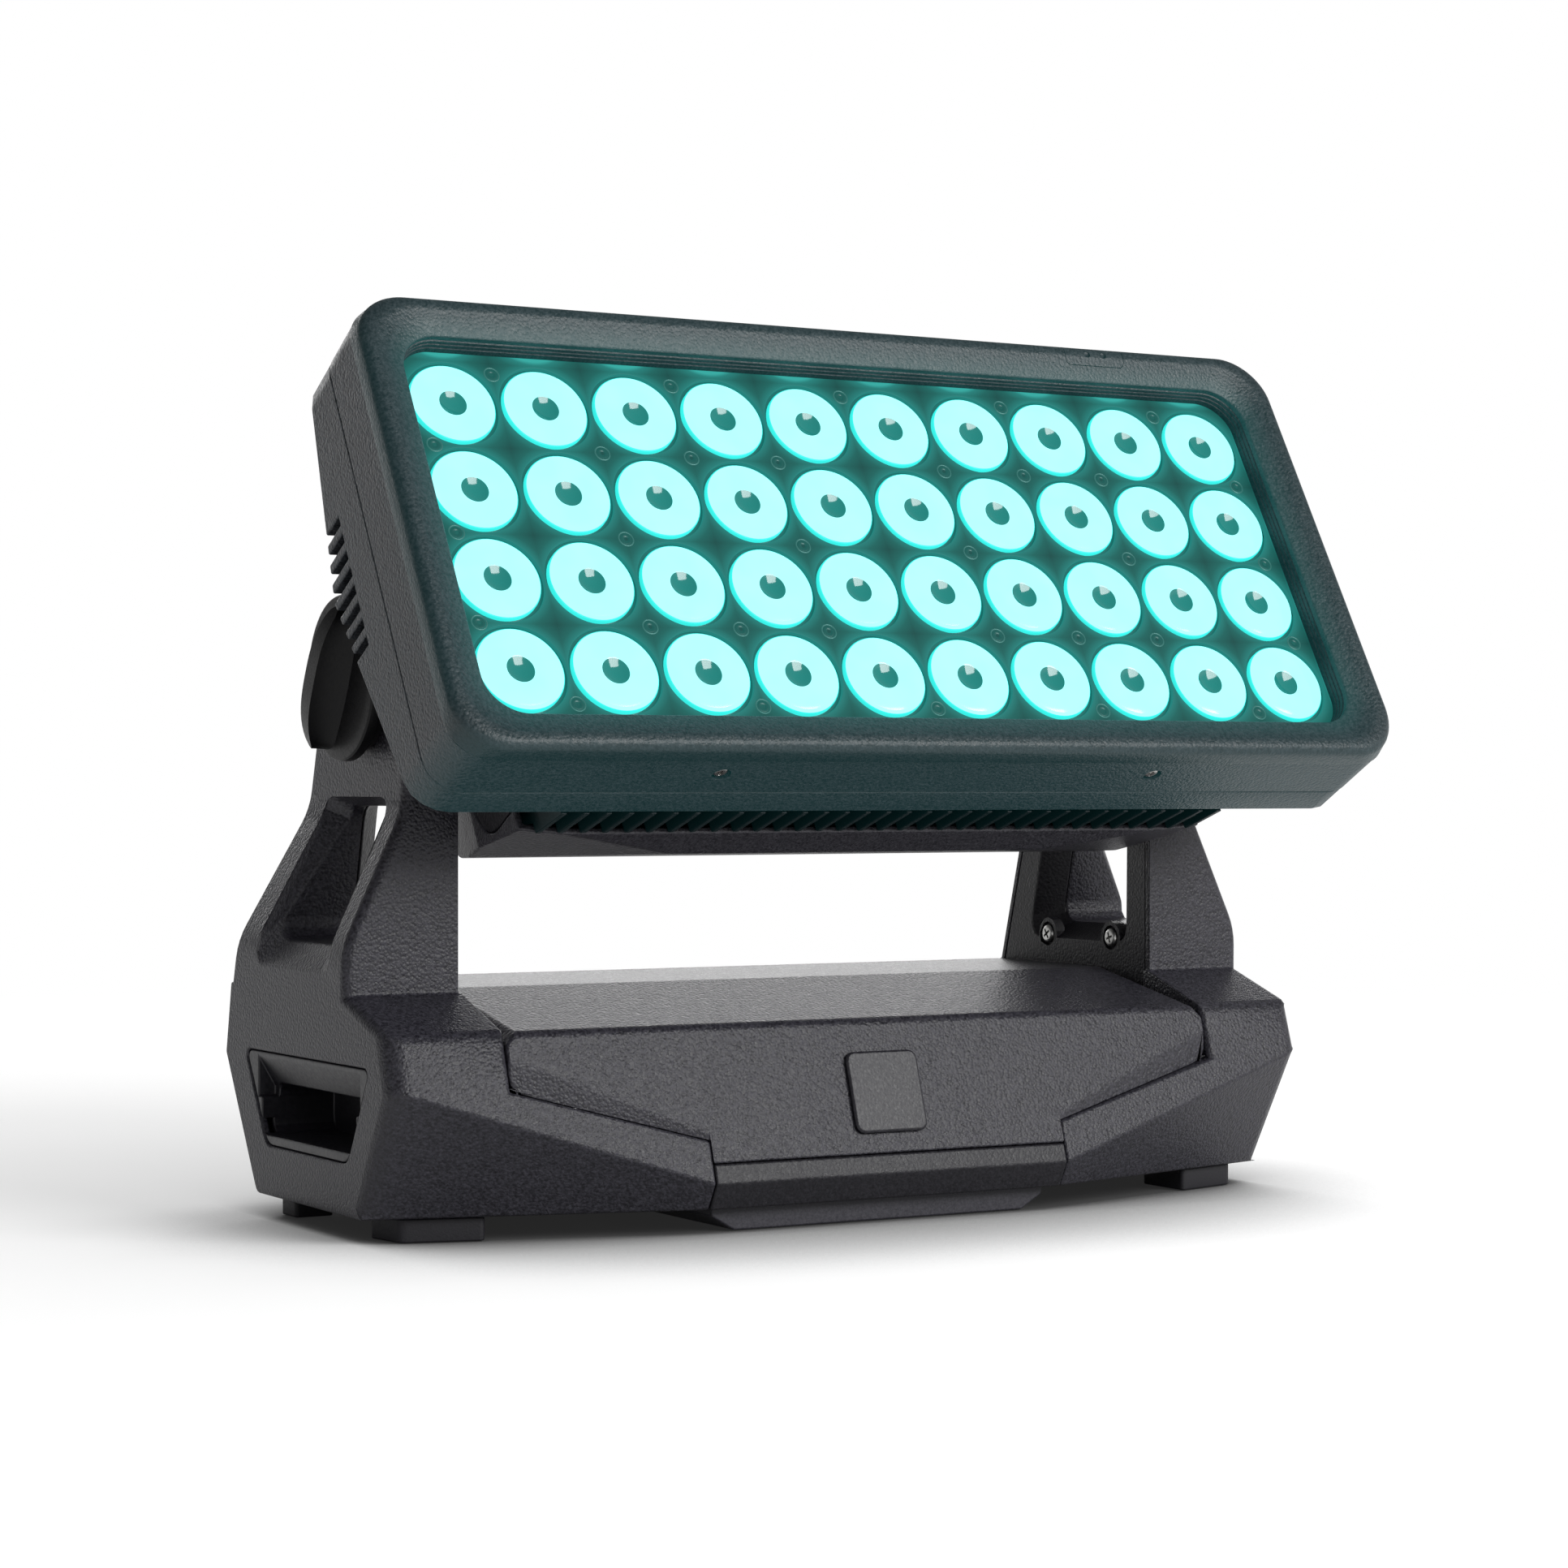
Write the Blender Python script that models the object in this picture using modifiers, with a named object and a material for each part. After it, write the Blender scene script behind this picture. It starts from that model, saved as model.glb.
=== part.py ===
"""LED wash light: a head with forty lenses that tilts between the arms of a faceted floor base.

Metres, +Z up, the lenses face -Y. The origin is on the floor under the tilt axis. The head is
modelled level, around the tilt axis, and its parent empty then tilts it back.
"""

import math

import bmesh
import bpy
from mathutils import Matrix, Vector

MM = 0.001
GAP = 0.3 * MM
# How far a cutter reaches past what it cuts
PAST = 5.0 * MM

# Lens grid
COLUMNS = 10
ROWS = 4
COLUMN_PITCH = 42.5 * MM
ROW_PITCH = 43.0 * MM
LENS_RADIUS = 19.2 * MM
LENS_BACK_RADIUS = 7.0 * MM
LENS_DEPTH = 15.6 * MM
LENS_EDGE = 1.1 * MM
LENS_PROUD = 0.4 * MM
LENS_FLANGE = 1.8 * MM
LENS_STRIP_END = 1.0 * MM
LENS_SIDES = 12
MASK_HOLE_RADIUS = 20.8 * MM

# Head, measured from the tilt axis with the head level: widths across, heights up, depths along +Y;
# tools reach past it by HEAD_REACH
HEAD_REACH = 300.0 * MM
HEAD_HALF_WIDTH = 231.2 * MM
HEAD_HALF_HEIGHT = 107.4 * MM
HEAD_CORNER = 15.0 * MM
HEAD_WALL = 4.0 * MM
HEAD_TILT = math.radians(30)
BEZEL_OVERHANG = 1.3 * MM
BEZEL_CORNER = 19.0 * MM
RIM_Y = -126.8 * MM
RIM_ROUND = 4.2 * MM
RIM_CORNER = 23.0 * MM
OPENING_Y = -122.2 * MM
OPENING_HALF_WIDTH = 214.6 * MM
OPENING_HALF_HEIGHT = 91.0 * MM
OPENING_CORNER = 18.0 * MM
STEP_IN = 1.2 * MM
STEP_DEPTH = 2.7 * MM
LIP_GAP = 1.0 * MM
SENSOR_X = (120.0 * MM, 152.0 * MM)
SENSOR_LOW_Z = 98.3 * MM
SENSOR_BACK_Y = -119.5 * MM
SENSOR_CORNER = 2.5 * MM
SENSOR_EYES_X = (132.0 * MM, 141.0 * MM)
SENSOR_EYE_Z = 103.5 * MM
SENSOR_EYE_RADIUS = 1.6 * MM
SENSOR_EYE_DEPTH = 1.0 * MM
HOUSING_SCREW_X = 107.5 * MM
HOUSING_SCREW_Y = -103.0 * MM
HOUSING_SCREW_RADIUS = 4.2 * MM
HOUSING_SCREW_DEPTH = 2.5 * MM
MASK_Y = -112.6 * MM
MASK_THICKNESS = 2.0 * MM
BEZEL_BACK_Y = -115.6 * MM
HOUSING_BACK_Y = -88.8 * MM
LEDGE_WIDTH = 13.0 * MM
LEDGE_THICKNESS = 3.8 * MM
LEDGE_CORNER = 6.0 * MM
SINK_PLATE = 7.0 * MM
BOARD_THICKNESS = 1.6 * MM
LED_SIZE = 6.0 * MM
LED_HEIGHT = 1.2 * MM
LENS_BACK_Y = MASK_Y + LENS_DEPTH
SINK_FRONT_Y = LENS_BACK_Y + GAP * 2 + LED_HEIGHT + BOARD_THICKNESS + GAP

# Rear of the head: a chevron in side view, then a narrow body between the arms
CHEVRON_Y = -44.6 * MM
CHEVRON_Z = 8.5 * MM
CHEVRON_SLOPE = math.radians(13.6)
VENT_COUNT = 8
VENT_PITCH = 8.3 * MM
VENT_HEIGHT = 4.3 * MM
VENT_FRONT_Y = -66.3 * MM
VENT_CENTRE_Z = 6.2 * MM
BODY_HALF_WIDTH = 173.0 * MM
BODY_BACK_HALF_WIDTH = 164.0 * MM
BODY_TAPER_Y = -8.0 * MM
BODY_WALL = 3.0 * MM
BODY_FRONT_Y = -45.6 * MM
BODY_BACK_Y = 29.8 * MM
BODY_HALF_HEIGHT = 102.2 * MM
BODY_BEVEL_Y = -27.0 * MM
BODY_BEVEL = math.radians(28)
BODY_BACK_ROUND = 8.0 * MM
BODY_SWEEP_START = (87.0 * MM, -25.0 * MM)
BODY_SWEEP_END = (200.0 * MM, -60.0 * MM)
BODY_SWEEP_SIDE = (170.0 * MM, -17.0 * MM, 91.0 * MM)
SIDE_PLATE = 5.0 * MM
SIDE_PLATE_HALF_HEIGHT = 89.7 * MM
SIDE_PLATE_BEND_Y = -19.0 * MM
SIDE_PLATE_BACK_Y = 17.4 * MM
SIDE_PLATE_ROUND = 14.0 * MM
FIN_COUNT = 33
FIN_PITCH = 10.3 * MM
FIN_THICKNESS = 2.6 * MM
FIN_BACK_Y = -27.0 * MM
FIN_DROP = 8.0 * MM
FIN_CLEARANCE = 2.0 * MM

# Tilt axis and its knobs
PIVOT_Z = 234.2 * MM
STUD_RADIUS = 6.0 * MM
STUD_BORE = 6.4 * MM
STUD_HEAD_RADIUS = 12.0 * MM
STUD_HEAD = 4.0 * MM
STUD_END_X = 212.0 * MM
WASHER_RADIUS = 24.0 * MM
KNOB_RADIUS = 35.5 * MM
KNOB_STEP_RADIUS = 31.0 * MM
KNOB_STEP = 5.0 * MM
KNOB_RIM = 6.0 * MM
KNOB_EDGE = 1.2 * MM
GRIP_WIDTH = 16.0 * MM
GRIP_HEIGHT = 14.5 * MM
GRIP_LENGTH = 66.0 * MM
GRIP_SHOULDER = 8.0 * MM
GRIP_TOP_LENGTH = 36.3 * MM
GRIP_CORNER = 6.0 * MM
GRIP_TOP_CORNER = 12.0 * MM
GRIP_LEAN = math.radians(27)

# Arms
ARM_INNER_X = 178.5 * MM
ARM_PLATE = 5.0 * MM
ARM_OUTER_X = 203.2 * MM
ARM_RADIUS = 43.1 * MM
ARM_REAR_LEAN = math.radians(16.3)
ARM_BEND_TOP_Z = 178.4 * MM
ARM_BEND_BOTTOM_Z = 120.0 * MM
ARM_BEND_ROUND = 35.0 * MM
COVER_WALL = 3.5 * MM
WINDOW_FRONT_Y = -26.1 * MM
WINDOW_TOP_Z = 183.6 * MM
WINDOW_BOTTOM_Z = 110.5 * MM
WINDOW_REAR_Y = 40.0 * MM
WINDOW_REAR_LEAN = math.radians(13.5)
WINDOW_CORNER = 7.2 * MM
WINDOW_BEVEL_DEPTH = 7.0 * MM
THROAT_FRONT_Y = -24.5 * MM
THROAT_TOP_Z = 179.6 * MM
THROAT_BOTTOM_Z = 121.5 * MM
THROAT_REAR_Y = 30.0 * MM
PLATE_WINDOW_TOP_Z = 183.6 * MM
PLATE_WINDOW_BOTTOM_Z = 113.5 * MM
PLATE_WINDOW_REAR_Y = 40.5 * MM
PLATE_FLANGE = 11.0 * MM
PLATE_FLANGE_WALL = 3.0 * MM
PLATE_SHOULDER = 4.0 * MM
PLATE_SHOULDER_DROP = 10.5 * MM
PLATE_FOOT_BACK = 22.0 * MM
SCREW_Y = (-11.3 * MM, 41.7 * MM)
SCREW_Z = 115.4 * MM
SCREW_BOSS = 8.0 * MM
SCREW_HEAD_RADIUS = 4.5 * MM
SCREW_HEAD = 2.6 * MM
COUNTERBORE_DEPTH = 2.0 * MM
COUNTERBORE_GAP = 1.5 * MM
SCREW_SHANK_RADIUS = 2.4 * MM
SCREW_LENGTH = 20.0 * MM
CROSS_HALF_LENGTH = 2.4 * MM
CROSS_HALF_WIDTH = 0.45 * MM
CROSS_DEPTH = 0.9 * MM

# Base, half width to half width, front at -Y; tools reach past it by BASE_REACH
BASE_REACH = 120.0 * MM
BASE_HALF_WIDTH = 230.3 * MM
FLOOR_Z = 10.2 * MM
TOP_Z = 101.6 * MM
TOP_SLOPE_Y = -12.5 * MM
TOWER_TOP_Z = 101.2 * MM
RIDGE_FRONT = (-84.8 * MM, 86.7 * MM)
BELT_FRONT = (-90.5 * MM, 64.2 * MM)
TOE_FRONT = (-105.6 * MM, 21.7 * MM)
HEEL_FRONT_Y = -59.3 * MM
RIDGE_REAR = (86.5 * MM, 99.5 * MM)
BELT_REAR = (92.4 * MM, 69.7 * MM)
TOE_REAR = (101.9 * MM, 21.7 * MM)
HEEL_REAR_Y = 55.5 * MM
TOE_HALF_WIDTH = 88.8 * MM
TOE_BEVEL = 6.0 * MM
SEAM_X = 177.0 * MM
SEAM_HIGH_Z = 62.8 * MM
SEAM_LOW_Z = 39.3 * MM
SEAM_SILL_Z = 29.75 * MM
CHAMFER_HIGH = 9.6 * MM
CHAMFER_LOW = 3.7 * MM
CHAMFER_DEPTH = 3.5 * MM
CHAMFER_INSET = 11.0 * MM
SEAM_CORNER = 8.0 * MM
COVER_END_BEVEL = 5.0 * MM
BASE_WALL = 3.0 * MM
TRAY_FLOOR = 3.0 * MM
BADGE_SIZE = 36.0 * MM
BADGE_THICKNESS = 2.2 * MM
BADGE_CORNER = 4.0 * MM
BADGE_CHAMFER = 0.8 * MM
BADGE_DROP = 31.0 * MM

# Handles in the base's ends
HANDLE_TOP_Z = 72.7 * MM
HANDLE_BOTTOM_Z = 32.1 * MM
HANDLE_TOP_Y = (-68.6 * MM, 68.6 * MM)
HANDLE_BOTTOM_Y = (-45.7 * MM, 43.6 * MM)
HANDLE_CORNER = 9.0 * MM
HANDLE_TOP_CORNER = 3.0 * MM
HANDLE_MOUTH_CORNER = 6.0 * MM
HANDLE_RECESS = 0.6 * MM
HANDLE_LIP_SIDE = 4.0 * MM
HANDLE_LIP_EDGE = 2.0 * MM
HANDLE_LIP_Z = 58.7 * MM
HANDLE_LIP_DEPTH = 7.0 * MM
HANDLE_MOUTH_BOTTOM_Z = 36.6 * MM
HANDLE_MOUTH_Y = (-54.0 * MM, 50.0 * MM)
HANDLE_FLANGE = 10.5 * MM
HANDLE_DEPTH = 34.0 * MM
HANDLE_WALL = 2.5 * MM

# Power supply and control board on the tray, low and high in X and Y
SUPPLY_X = (-80.0 * MM, 60.0 * MM)
SUPPLY_Y = (-62.0 * MM, 28.0 * MM)
SUPPLY_HEIGHT = 42.0 * MM
BOARD_X = (-84.0 * MM, 84.0 * MM)
BOARD_Y = (34.0 * MM, 62.0 * MM)
STANDOFF_HEIGHT = 6.0 * MM
STANDOFF_HALF = 3.0 * MM
STANDOFF_INSET_X = 8.0 * MM
STANDOFF_INSET_Y = 4.0 * MM

# Feet and the bracket under the base
FOOT_X = (178.0 * MM, 217.0 * MM)
FOOT_FRONT_Y = (-70.0 * MM, -38.0 * MM)
FOOT_REAR_Y = (40.0 * MM, 57.0 * MM)
FOOT_REAR_X = (200.0 * MM, 218.0 * MM)
FOOT_SLANT = 10.0 * MM
FOOT_CORNER = 2.0 * MM
FOOT_TOE_CORNER = 4.0 * MM
SKID_HALF_WIDTH = 84.0 * MM
SKID_FRONT_Y = -92.0 * MM
SKID_BACK_Y = 60.0 * MM
SKID_SLOPE = 11.0 * MM
SKID_EDGE = 3.5 * MM
SKID_WALL = 4.0 * MM

# Rear panel
PANEL_HALF_WIDTH = 84.0 * MM
PANEL_BOTTOM_Z = 36.0 * MM
PANEL_TOP_Z = 90.0 * MM
PANEL_THICKNESS = 2.0 * MM
PANEL_RECESS = 2.4 * MM
PANEL_CORNER = 5.0 * MM
PANEL_OPENING_REACH = 12.0 * MM
PANEL_LEAN = math.atan2(TOE_REAR[0] - RIDGE_REAR[0], RIDGE_REAR[1] - TOE_REAR[1])
PANEL_MIDDLE_Z = (PANEL_BOTTOM_Z + PANEL_TOP_Z) / 2
DISPLAY_WIDTH = 40.0 * MM
DISPLAY_HEIGHT = 18.0 * MM
DISPLAY_Z = 9.0 * MM
DISPLAY_THICKNESS = 1.2 * MM
DISPLAY_CORNER = 2.0 * MM
BUTTON_COUNT = 4
BUTTON_PITCH = 11.0 * MM
BUTTON_RADIUS = 3.6 * MM
BUTTON_HEIGHT = 2.4 * MM
BUTTON_EDGE = 0.5 * MM
BUTTON_ROOT = 1.5 * MM
BUTTON_Z = -12.0 * MM
POWER_X = (-68.0 * MM, -38.0 * MM)
DATA_X = (38.0 * MM, 68.0 * MM)
SOCKET_RADIUS = 12.0 * MM
SOCKET_DEPTH = 22.0 * MM
SOCKET_BORE = 9.4 * MM
SOCKET_CORE = 6.2 * MM
SOCKET_GROOVE = 9.0 * MM
SOCKET_RIM = 3.0 * MM
SOCKET_FLANGE = 2.0 * MM
SOCKET_Z = -4.0 * MM


def reset_scene():
    """Start from a file without objects."""
    for old in list(bpy.data.objects):
        bpy.data.objects.remove(old, do_unlink=True)


def new_collection(name):
    collection = bpy.data.collections.new(name)
    bpy.context.scene.collection.children.link(collection)
    return collection


reset_scene()
PARTS = new_collection("led_wash_light")
CUTTERS = new_collection("cutters")


def finish(name, colour, roughness, metallic=0.0):
    """Material with a plain Principled surface."""
    material = bpy.data.materials.new(name)
    material.use_nodes = True
    surface = material.node_tree.nodes["Principled BSDF"]
    surface.inputs["Base Color"].default_value = (*colour, 1.0)
    surface.inputs["Roughness"].default_value = roughness
    surface.inputs["Metallic"].default_value = metallic
    material.diffuse_color = (*colour, 1.0)
    return material


GRAINED = finish("grained_charcoal_plastic", (0.035, 0.035, 0.042), 0.6)
SMOOTH = finish("smooth_charcoal_plastic", (0.022, 0.022, 0.028), 0.42)
BLACK = finish("black_knob_plastic", (0.012, 0.012, 0.014), 0.5)
RUBBER = finish("black_rubber", (0.015, 0.015, 0.016), 0.8)
LENS = finish("cyan_lit_acrylic", (0.05, 0.62, 0.72), 0.15)
MASK = finish("black_mask_plastic", (0.012, 0.03, 0.03), 0.45)
CAST = finish("black_cast_aluminium", (0.05, 0.05, 0.055), 0.5, 0.8)
STEEL = finish("bright_zinc_steel", (0.62, 0.62, 0.64), 0.3, 1.0)
PANEL = finish("black_coated_sheet", (0.02, 0.02, 0.022), 0.45)
WINDOW = finish("dark_display_window", (0.008, 0.012, 0.016), 0.1)
BOARD = finish("white_masked_board", (0.7, 0.7, 0.68), 0.5)
CIRCUIT = finish("green_circuit_board", (0.02, 0.16, 0.06), 0.5)


def add_object(name, mesh, material, frame=None):
    """Object in the part's collection, under its frame when it has one."""
    piece = bpy.data.objects.new(name, mesh)
    PARTS.objects.link(piece)
    piece.parent = frame
    if material:
        mesh.materials.clear()
        mesh.materials.append(material)
    return piece


def mesh_from(name, bm):
    bmesh.ops.recalc_face_normals(bm, faces=bm.faces)
    mesh = bpy.data.meshes.new(name)
    bm.to_mesh(mesh)
    bm.free()
    return mesh


def boolean(piece, tool, operation):
    """Live exact Boolean; the tool moves to the cutters."""
    change = piece.modifiers.new(tool.name, "BOOLEAN")
    change.operation = operation
    change.solver = "EXACT"
    change.object = tool
    if tool.name in PARTS.objects:
        PARTS.objects.unlink(tool)
        CUTTERS.objects.link(tool)
    tool.hide_render = True
    tool.display_type = "WIRE"


def cut(piece, *tools):
    for tool in tools:
        boolean(piece, tool, "DIFFERENCE")


def join(piece, *tools):
    for tool in tools:
        boolean(piece, tool, "UNION")


def common(piece, *tools):
    for tool in tools:
        boolean(piece, tool, "INTERSECT")


def settled_mesh(piece, name):
    """The piece's mesh with its modifiers worked out."""
    graph = bpy.context.evaluated_depsgraph_get()
    mesh = bpy.data.meshes.new_from_object(piece.evaluated_get(graph))
    mesh.name = name
    return mesh


def mirrored(piece, name, frame=None):
    """The same moulding for the other side, mirrored in X."""
    mesh = settled_mesh(piece, name)
    mesh.transform(Matrix.Scale(-1, 4, (1, 0, 0)))
    mesh.flip_normals()
    return add_object(name, mesh, piece.data.materials[0], frame)


def smooth_round(piece, angle=35):
    piece.data.shade_smooth()
    piece.data.set_sharp_from_angle(angle=math.radians(angle))


def rounded(corners, radius=0.0, step=18):
    """Outline points; a corner is (a, b) with the common radius, or (a, b, its own radius)."""
    points = []
    count = len(corners)
    for index, corner in enumerate(corners):
        here = Vector(corner[:2])
        size = corner[2] if len(corner) > 2 else radius
        if size <= 0:
            points.append(here)
            continue
        before = (Vector(corners[index - 1][:2]) - here).normalized()
        after = (Vector(corners[(index + 1) % count][:2]) - here).normalized()
        half = before.angle(after) / 2
        centre = here + (before + after).normalized() * size / math.sin(half)
        arm = here + before * size / math.tan(half) - centre
        turn = math.pi - 2 * half
        if after.cross(before) < 0:
            turn = -turn
        steps = max(2, round(abs(math.degrees(turn)) / step))
        for k in range(steps + 1):
            points.append(centre + Matrix.Rotation(turn * k / steps, 2) @ arm)
    return points


def rectangle(low_a, high_a, low_b, high_b):
    return [(low_a, low_b), (high_a, low_b), (high_a, high_b), (low_a, high_b)]


AXES = {
    "X": Matrix(((0, 0, 1), (1, 0, 0), (0, 1, 0))),
    "Y": Matrix(((1, 0, 0), (0, 0, -1), (0, 1, 0))),
    "Z": Matrix.Identity(3),
}


def prism(name, outline, axis, low, high, material=None, frame=None):
    """Flat outline pushed along an axis: (y, z) along X, (x, z) along Y, (x, y) along Z."""
    curve = bpy.data.curves.new(name, "CURVE")
    curve.dimensions = "2D"
    curve.fill_mode = "BOTH"
    curve.extrude = (high - low) / 2
    spline = curve.splines.new("POLY")
    spline.points.add(len(outline) - 1)
    for point, (a, b) in zip(spline.points, outline):
        point.co = (a, b, 0, 1)
    spline.use_cyclic_u = True
    flat = bpy.data.objects.new(name + "_outline", curve)
    PARTS.objects.link(flat)
    middle = (low + high) / 2
    offset = Vector([middle if letter == axis else 0 for letter in "XYZ"])
    flat.matrix_world = Matrix.Translation(offset) @ AXES[axis].to_4x4()
    bpy.context.view_layer.update()
    mesh = settled_mesh(flat, name)
    mesh.transform(flat.matrix_world)
    bpy.data.objects.remove(flat)
    bm = bmesh.new()
    bm.from_mesh(mesh)
    bmesh.ops.remove_doubles(bm, verts=bm.verts, dist=1e-6)
    bmesh.ops.dissolve_limit(bm, angle_limit=0.001, verts=bm.verts, edges=bm.edges)
    bpy.data.meshes.remove(mesh)
    return add_object(name, mesh_from(name, bm), material, frame)


def block(name, low, high, material=None, frame=None, facets=()):
    """Box from corner to corner, with each facet (point, outward normal) sliced off it."""
    bm = bmesh.new()
    bmesh.ops.create_cube(bm, size=1.0)
    low = Vector(low)
    high = Vector(high)
    for vert in bm.verts:
        vert.co = [low[i] + (vert.co[i] + 0.5) * (high[i] - low[i]) for i in range(3)]
    for point, normal in facets:
        everything = bm.verts[:] + bm.edges[:] + bm.faces[:]
        bmesh.ops.bisect_plane(bm, geom=everything, dist=1e-7, plane_co=point,
                               plane_no=normal, clear_outer=True)
        rim = [edge for edge in bm.edges if edge.is_boundary]
        if rim:
            bmesh.ops.holes_fill(bm, edges=rim)
    return add_object(name, mesh_from(name, bm), material, frame)


def facet(first, second, third, inside=(0.0, 0.0, 50 * MM), inset=0.0):
    """Plane through three points, facing away from a point inside, moved in by the inset."""
    first = Vector(first)
    normal = (Vector(second) - first).cross(Vector(third) - first).normalized()
    if normal.dot(first - Vector(inside)) < 0:
        normal = -normal
    return first - normal * inset, normal


def turned(name, profile, sides, material=None, frame=None):
    """Profile of (radius, height) pairs, top to bottom, turned about its own Z axis."""
    bm = bmesh.new()
    verts = [bm.verts.new((radius, 0, height)) for radius, height in profile]
    for first, second in zip(verts, verts[1:]):
        bm.edges.new((first, second))
    mesh = bpy.data.meshes.new(name)
    bm.to_mesh(mesh)
    bm.free()
    piece = add_object(name, mesh, material, frame)
    screw = piece.modifiers.new("turn", "SCREW")
    screw.steps = sides
    screw.render_steps = sides
    screw.use_merge_vertices = True
    screw.merge_threshold = 0.0001 * MM
    return piece


def ring_section(name, loops, material, frame, steps=4):
    """Frame lofted through rounded rectangles (half width, half height, corner, y) in a ring."""
    bm = bmesh.new()
    rings = []
    for half_width, half_height, corner, y in loops:
        corners = rectangle(-half_width, half_width, -half_height, half_height)
        outline = rounded(corners, corner, 90 / steps)
        rings.append([bm.verts.new((x, y, z)) for x, z in outline])
    for ring, following in zip(rings, rings[1:] + rings[:1]):
        for i in range(len(ring)):
            bm.faces.new((ring[i - 1], ring[i], following[i], following[i - 1]))
    return add_object(name, mesh_from(name, bm), material, frame)


def repeat(piece, count, step):
    """Array of a piece at a constant step."""
    array = piece.modifiers.new("repeat", "ARRAY")
    array.count = count
    array.use_relative_offset = False
    array.use_constant_offset = True
    array.constant_offset_displace = step
    return piece


def rod(name, radius, low_x, high_x, y, z, sides=16, material=None, frame=None):
    """Cylinder along X between two places."""
    bm = bmesh.new()
    bmesh.ops.create_cone(bm, cap_ends=True, segments=sides, radius1=radius, radius2=radius,
                          depth=high_x - low_x)
    turn = Matrix.Rotation(math.radians(90), 4, "Y")
    place = Matrix.Translation(((low_x + high_x) / 2, y, z))
    bmesh.ops.transform(bm, matrix=place @ turn, verts=bm.verts)
    return add_object(name, mesh_from(name, bm), material, frame)


TILT = bpy.data.objects.new("tilt_axis", None)
PARTS.objects.link(TILT)
TILT.location = (0, 0, PIVOT_Z)
TILT.rotation_euler = (-HEAD_TILT, 0, 0)


def spread(count, pitch):
    """Places in a row, evenly about zero."""
    return [(index - (count - 1) / 2) * pitch for index in range(count)]


def bezel_frame(name):
    """Frame whose face slopes in from the rim to the opening."""
    def rim(amount, y, corner):
        grow = BEZEL_OVERHANG - amount
        return (HEAD_HALF_WIDTH + grow, HEAD_HALF_HEIGHT + grow, corner, y)

    lip = HEAD_WALL + GAP + LIP_GAP
    inside = (HEAD_HALF_WIDTH - lip, HEAD_HALF_HEIGHT - lip, HEAD_CORNER - lip)
    opening = (OPENING_HALF_WIDTH, OPENING_HALF_HEIGHT, OPENING_CORNER)
    inner = [side - STEP_IN for side in opening]
    step_y = OPENING_Y + STEP_DEPTH
    lip_y = MASK_Y - GAP
    loops = [
        rim(0, BEZEL_BACK_Y, BEZEL_CORNER),
        rim(0, RIM_Y + RIM_ROUND, RIM_CORNER),
        rim(RIM_ROUND * 0.3, RIM_Y + RIM_ROUND * 0.3, RIM_CORNER),
        rim(RIM_ROUND, RIM_Y, RIM_CORNER),
        (*opening, OPENING_Y),
        (*opening, step_y),
        (*inner, step_y),
        (*inner, lip_y),
        (*inside, lip_y),
        (*inside, BEZEL_BACK_Y),
    ]
    return ring_section(name, loops, GRAINED, TILT)


def sensor_outline(grow):
    """Outline of the sensor cover in front view, open above the rim."""
    low, high = SENSOR_X
    top = HEAD_HALF_HEIGHT + 2 * PAST
    return rounded([(low - grow, SENSOR_LOW_Z - grow, SENSOR_CORNER + grow),
                    (high + grow, SENSOR_LOW_Z - grow, SENSOR_CORNER + grow),
                    (high + grow, top, 0), (low - grow, top, 0)], 0, 30)


def front_bezel():
    """Front frame with a recess for the sensor cover in its top rim."""
    bezel = bezel_frame("front_bezel")
    front = RIM_Y - PAST
    cut(bezel, prism("sensor_recess", sensor_outline(GAP), "Y", front, SENSOR_BACK_Y + GAP, None, TILT))
    smooth_round(bezel, 30)
    return bezel


def sensor_cover():
    """Flush cap in the bezel's top rim, near its right end, with two shallow dimples."""
    cover = bezel_frame("sensor_cover")
    cover.data.materials.clear()
    cover.data.materials.append(SMOOTH)
    front = RIM_Y - PAST
    common(cover, prism("sensor_block", sensor_outline(0), "Y", front, SENSOR_BACK_Y, None, TILT))
    for x in SENSOR_EYES_X:
        eye = turned("sensor_eye", [(0, PAST), (SENSOR_EYE_RADIUS, PAST),
                                    (SENSOR_EYE_RADIUS, -SENSOR_EYE_DEPTH), (0, -SENSOR_EYE_DEPTH)],
                     10, None, TILT)
        eye.rotation_euler = (math.radians(90), 0, 0)
        eye.location = (x, RIM_Y, SENSOR_EYE_Z)
        cut(cover, eye)
    return cover


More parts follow.
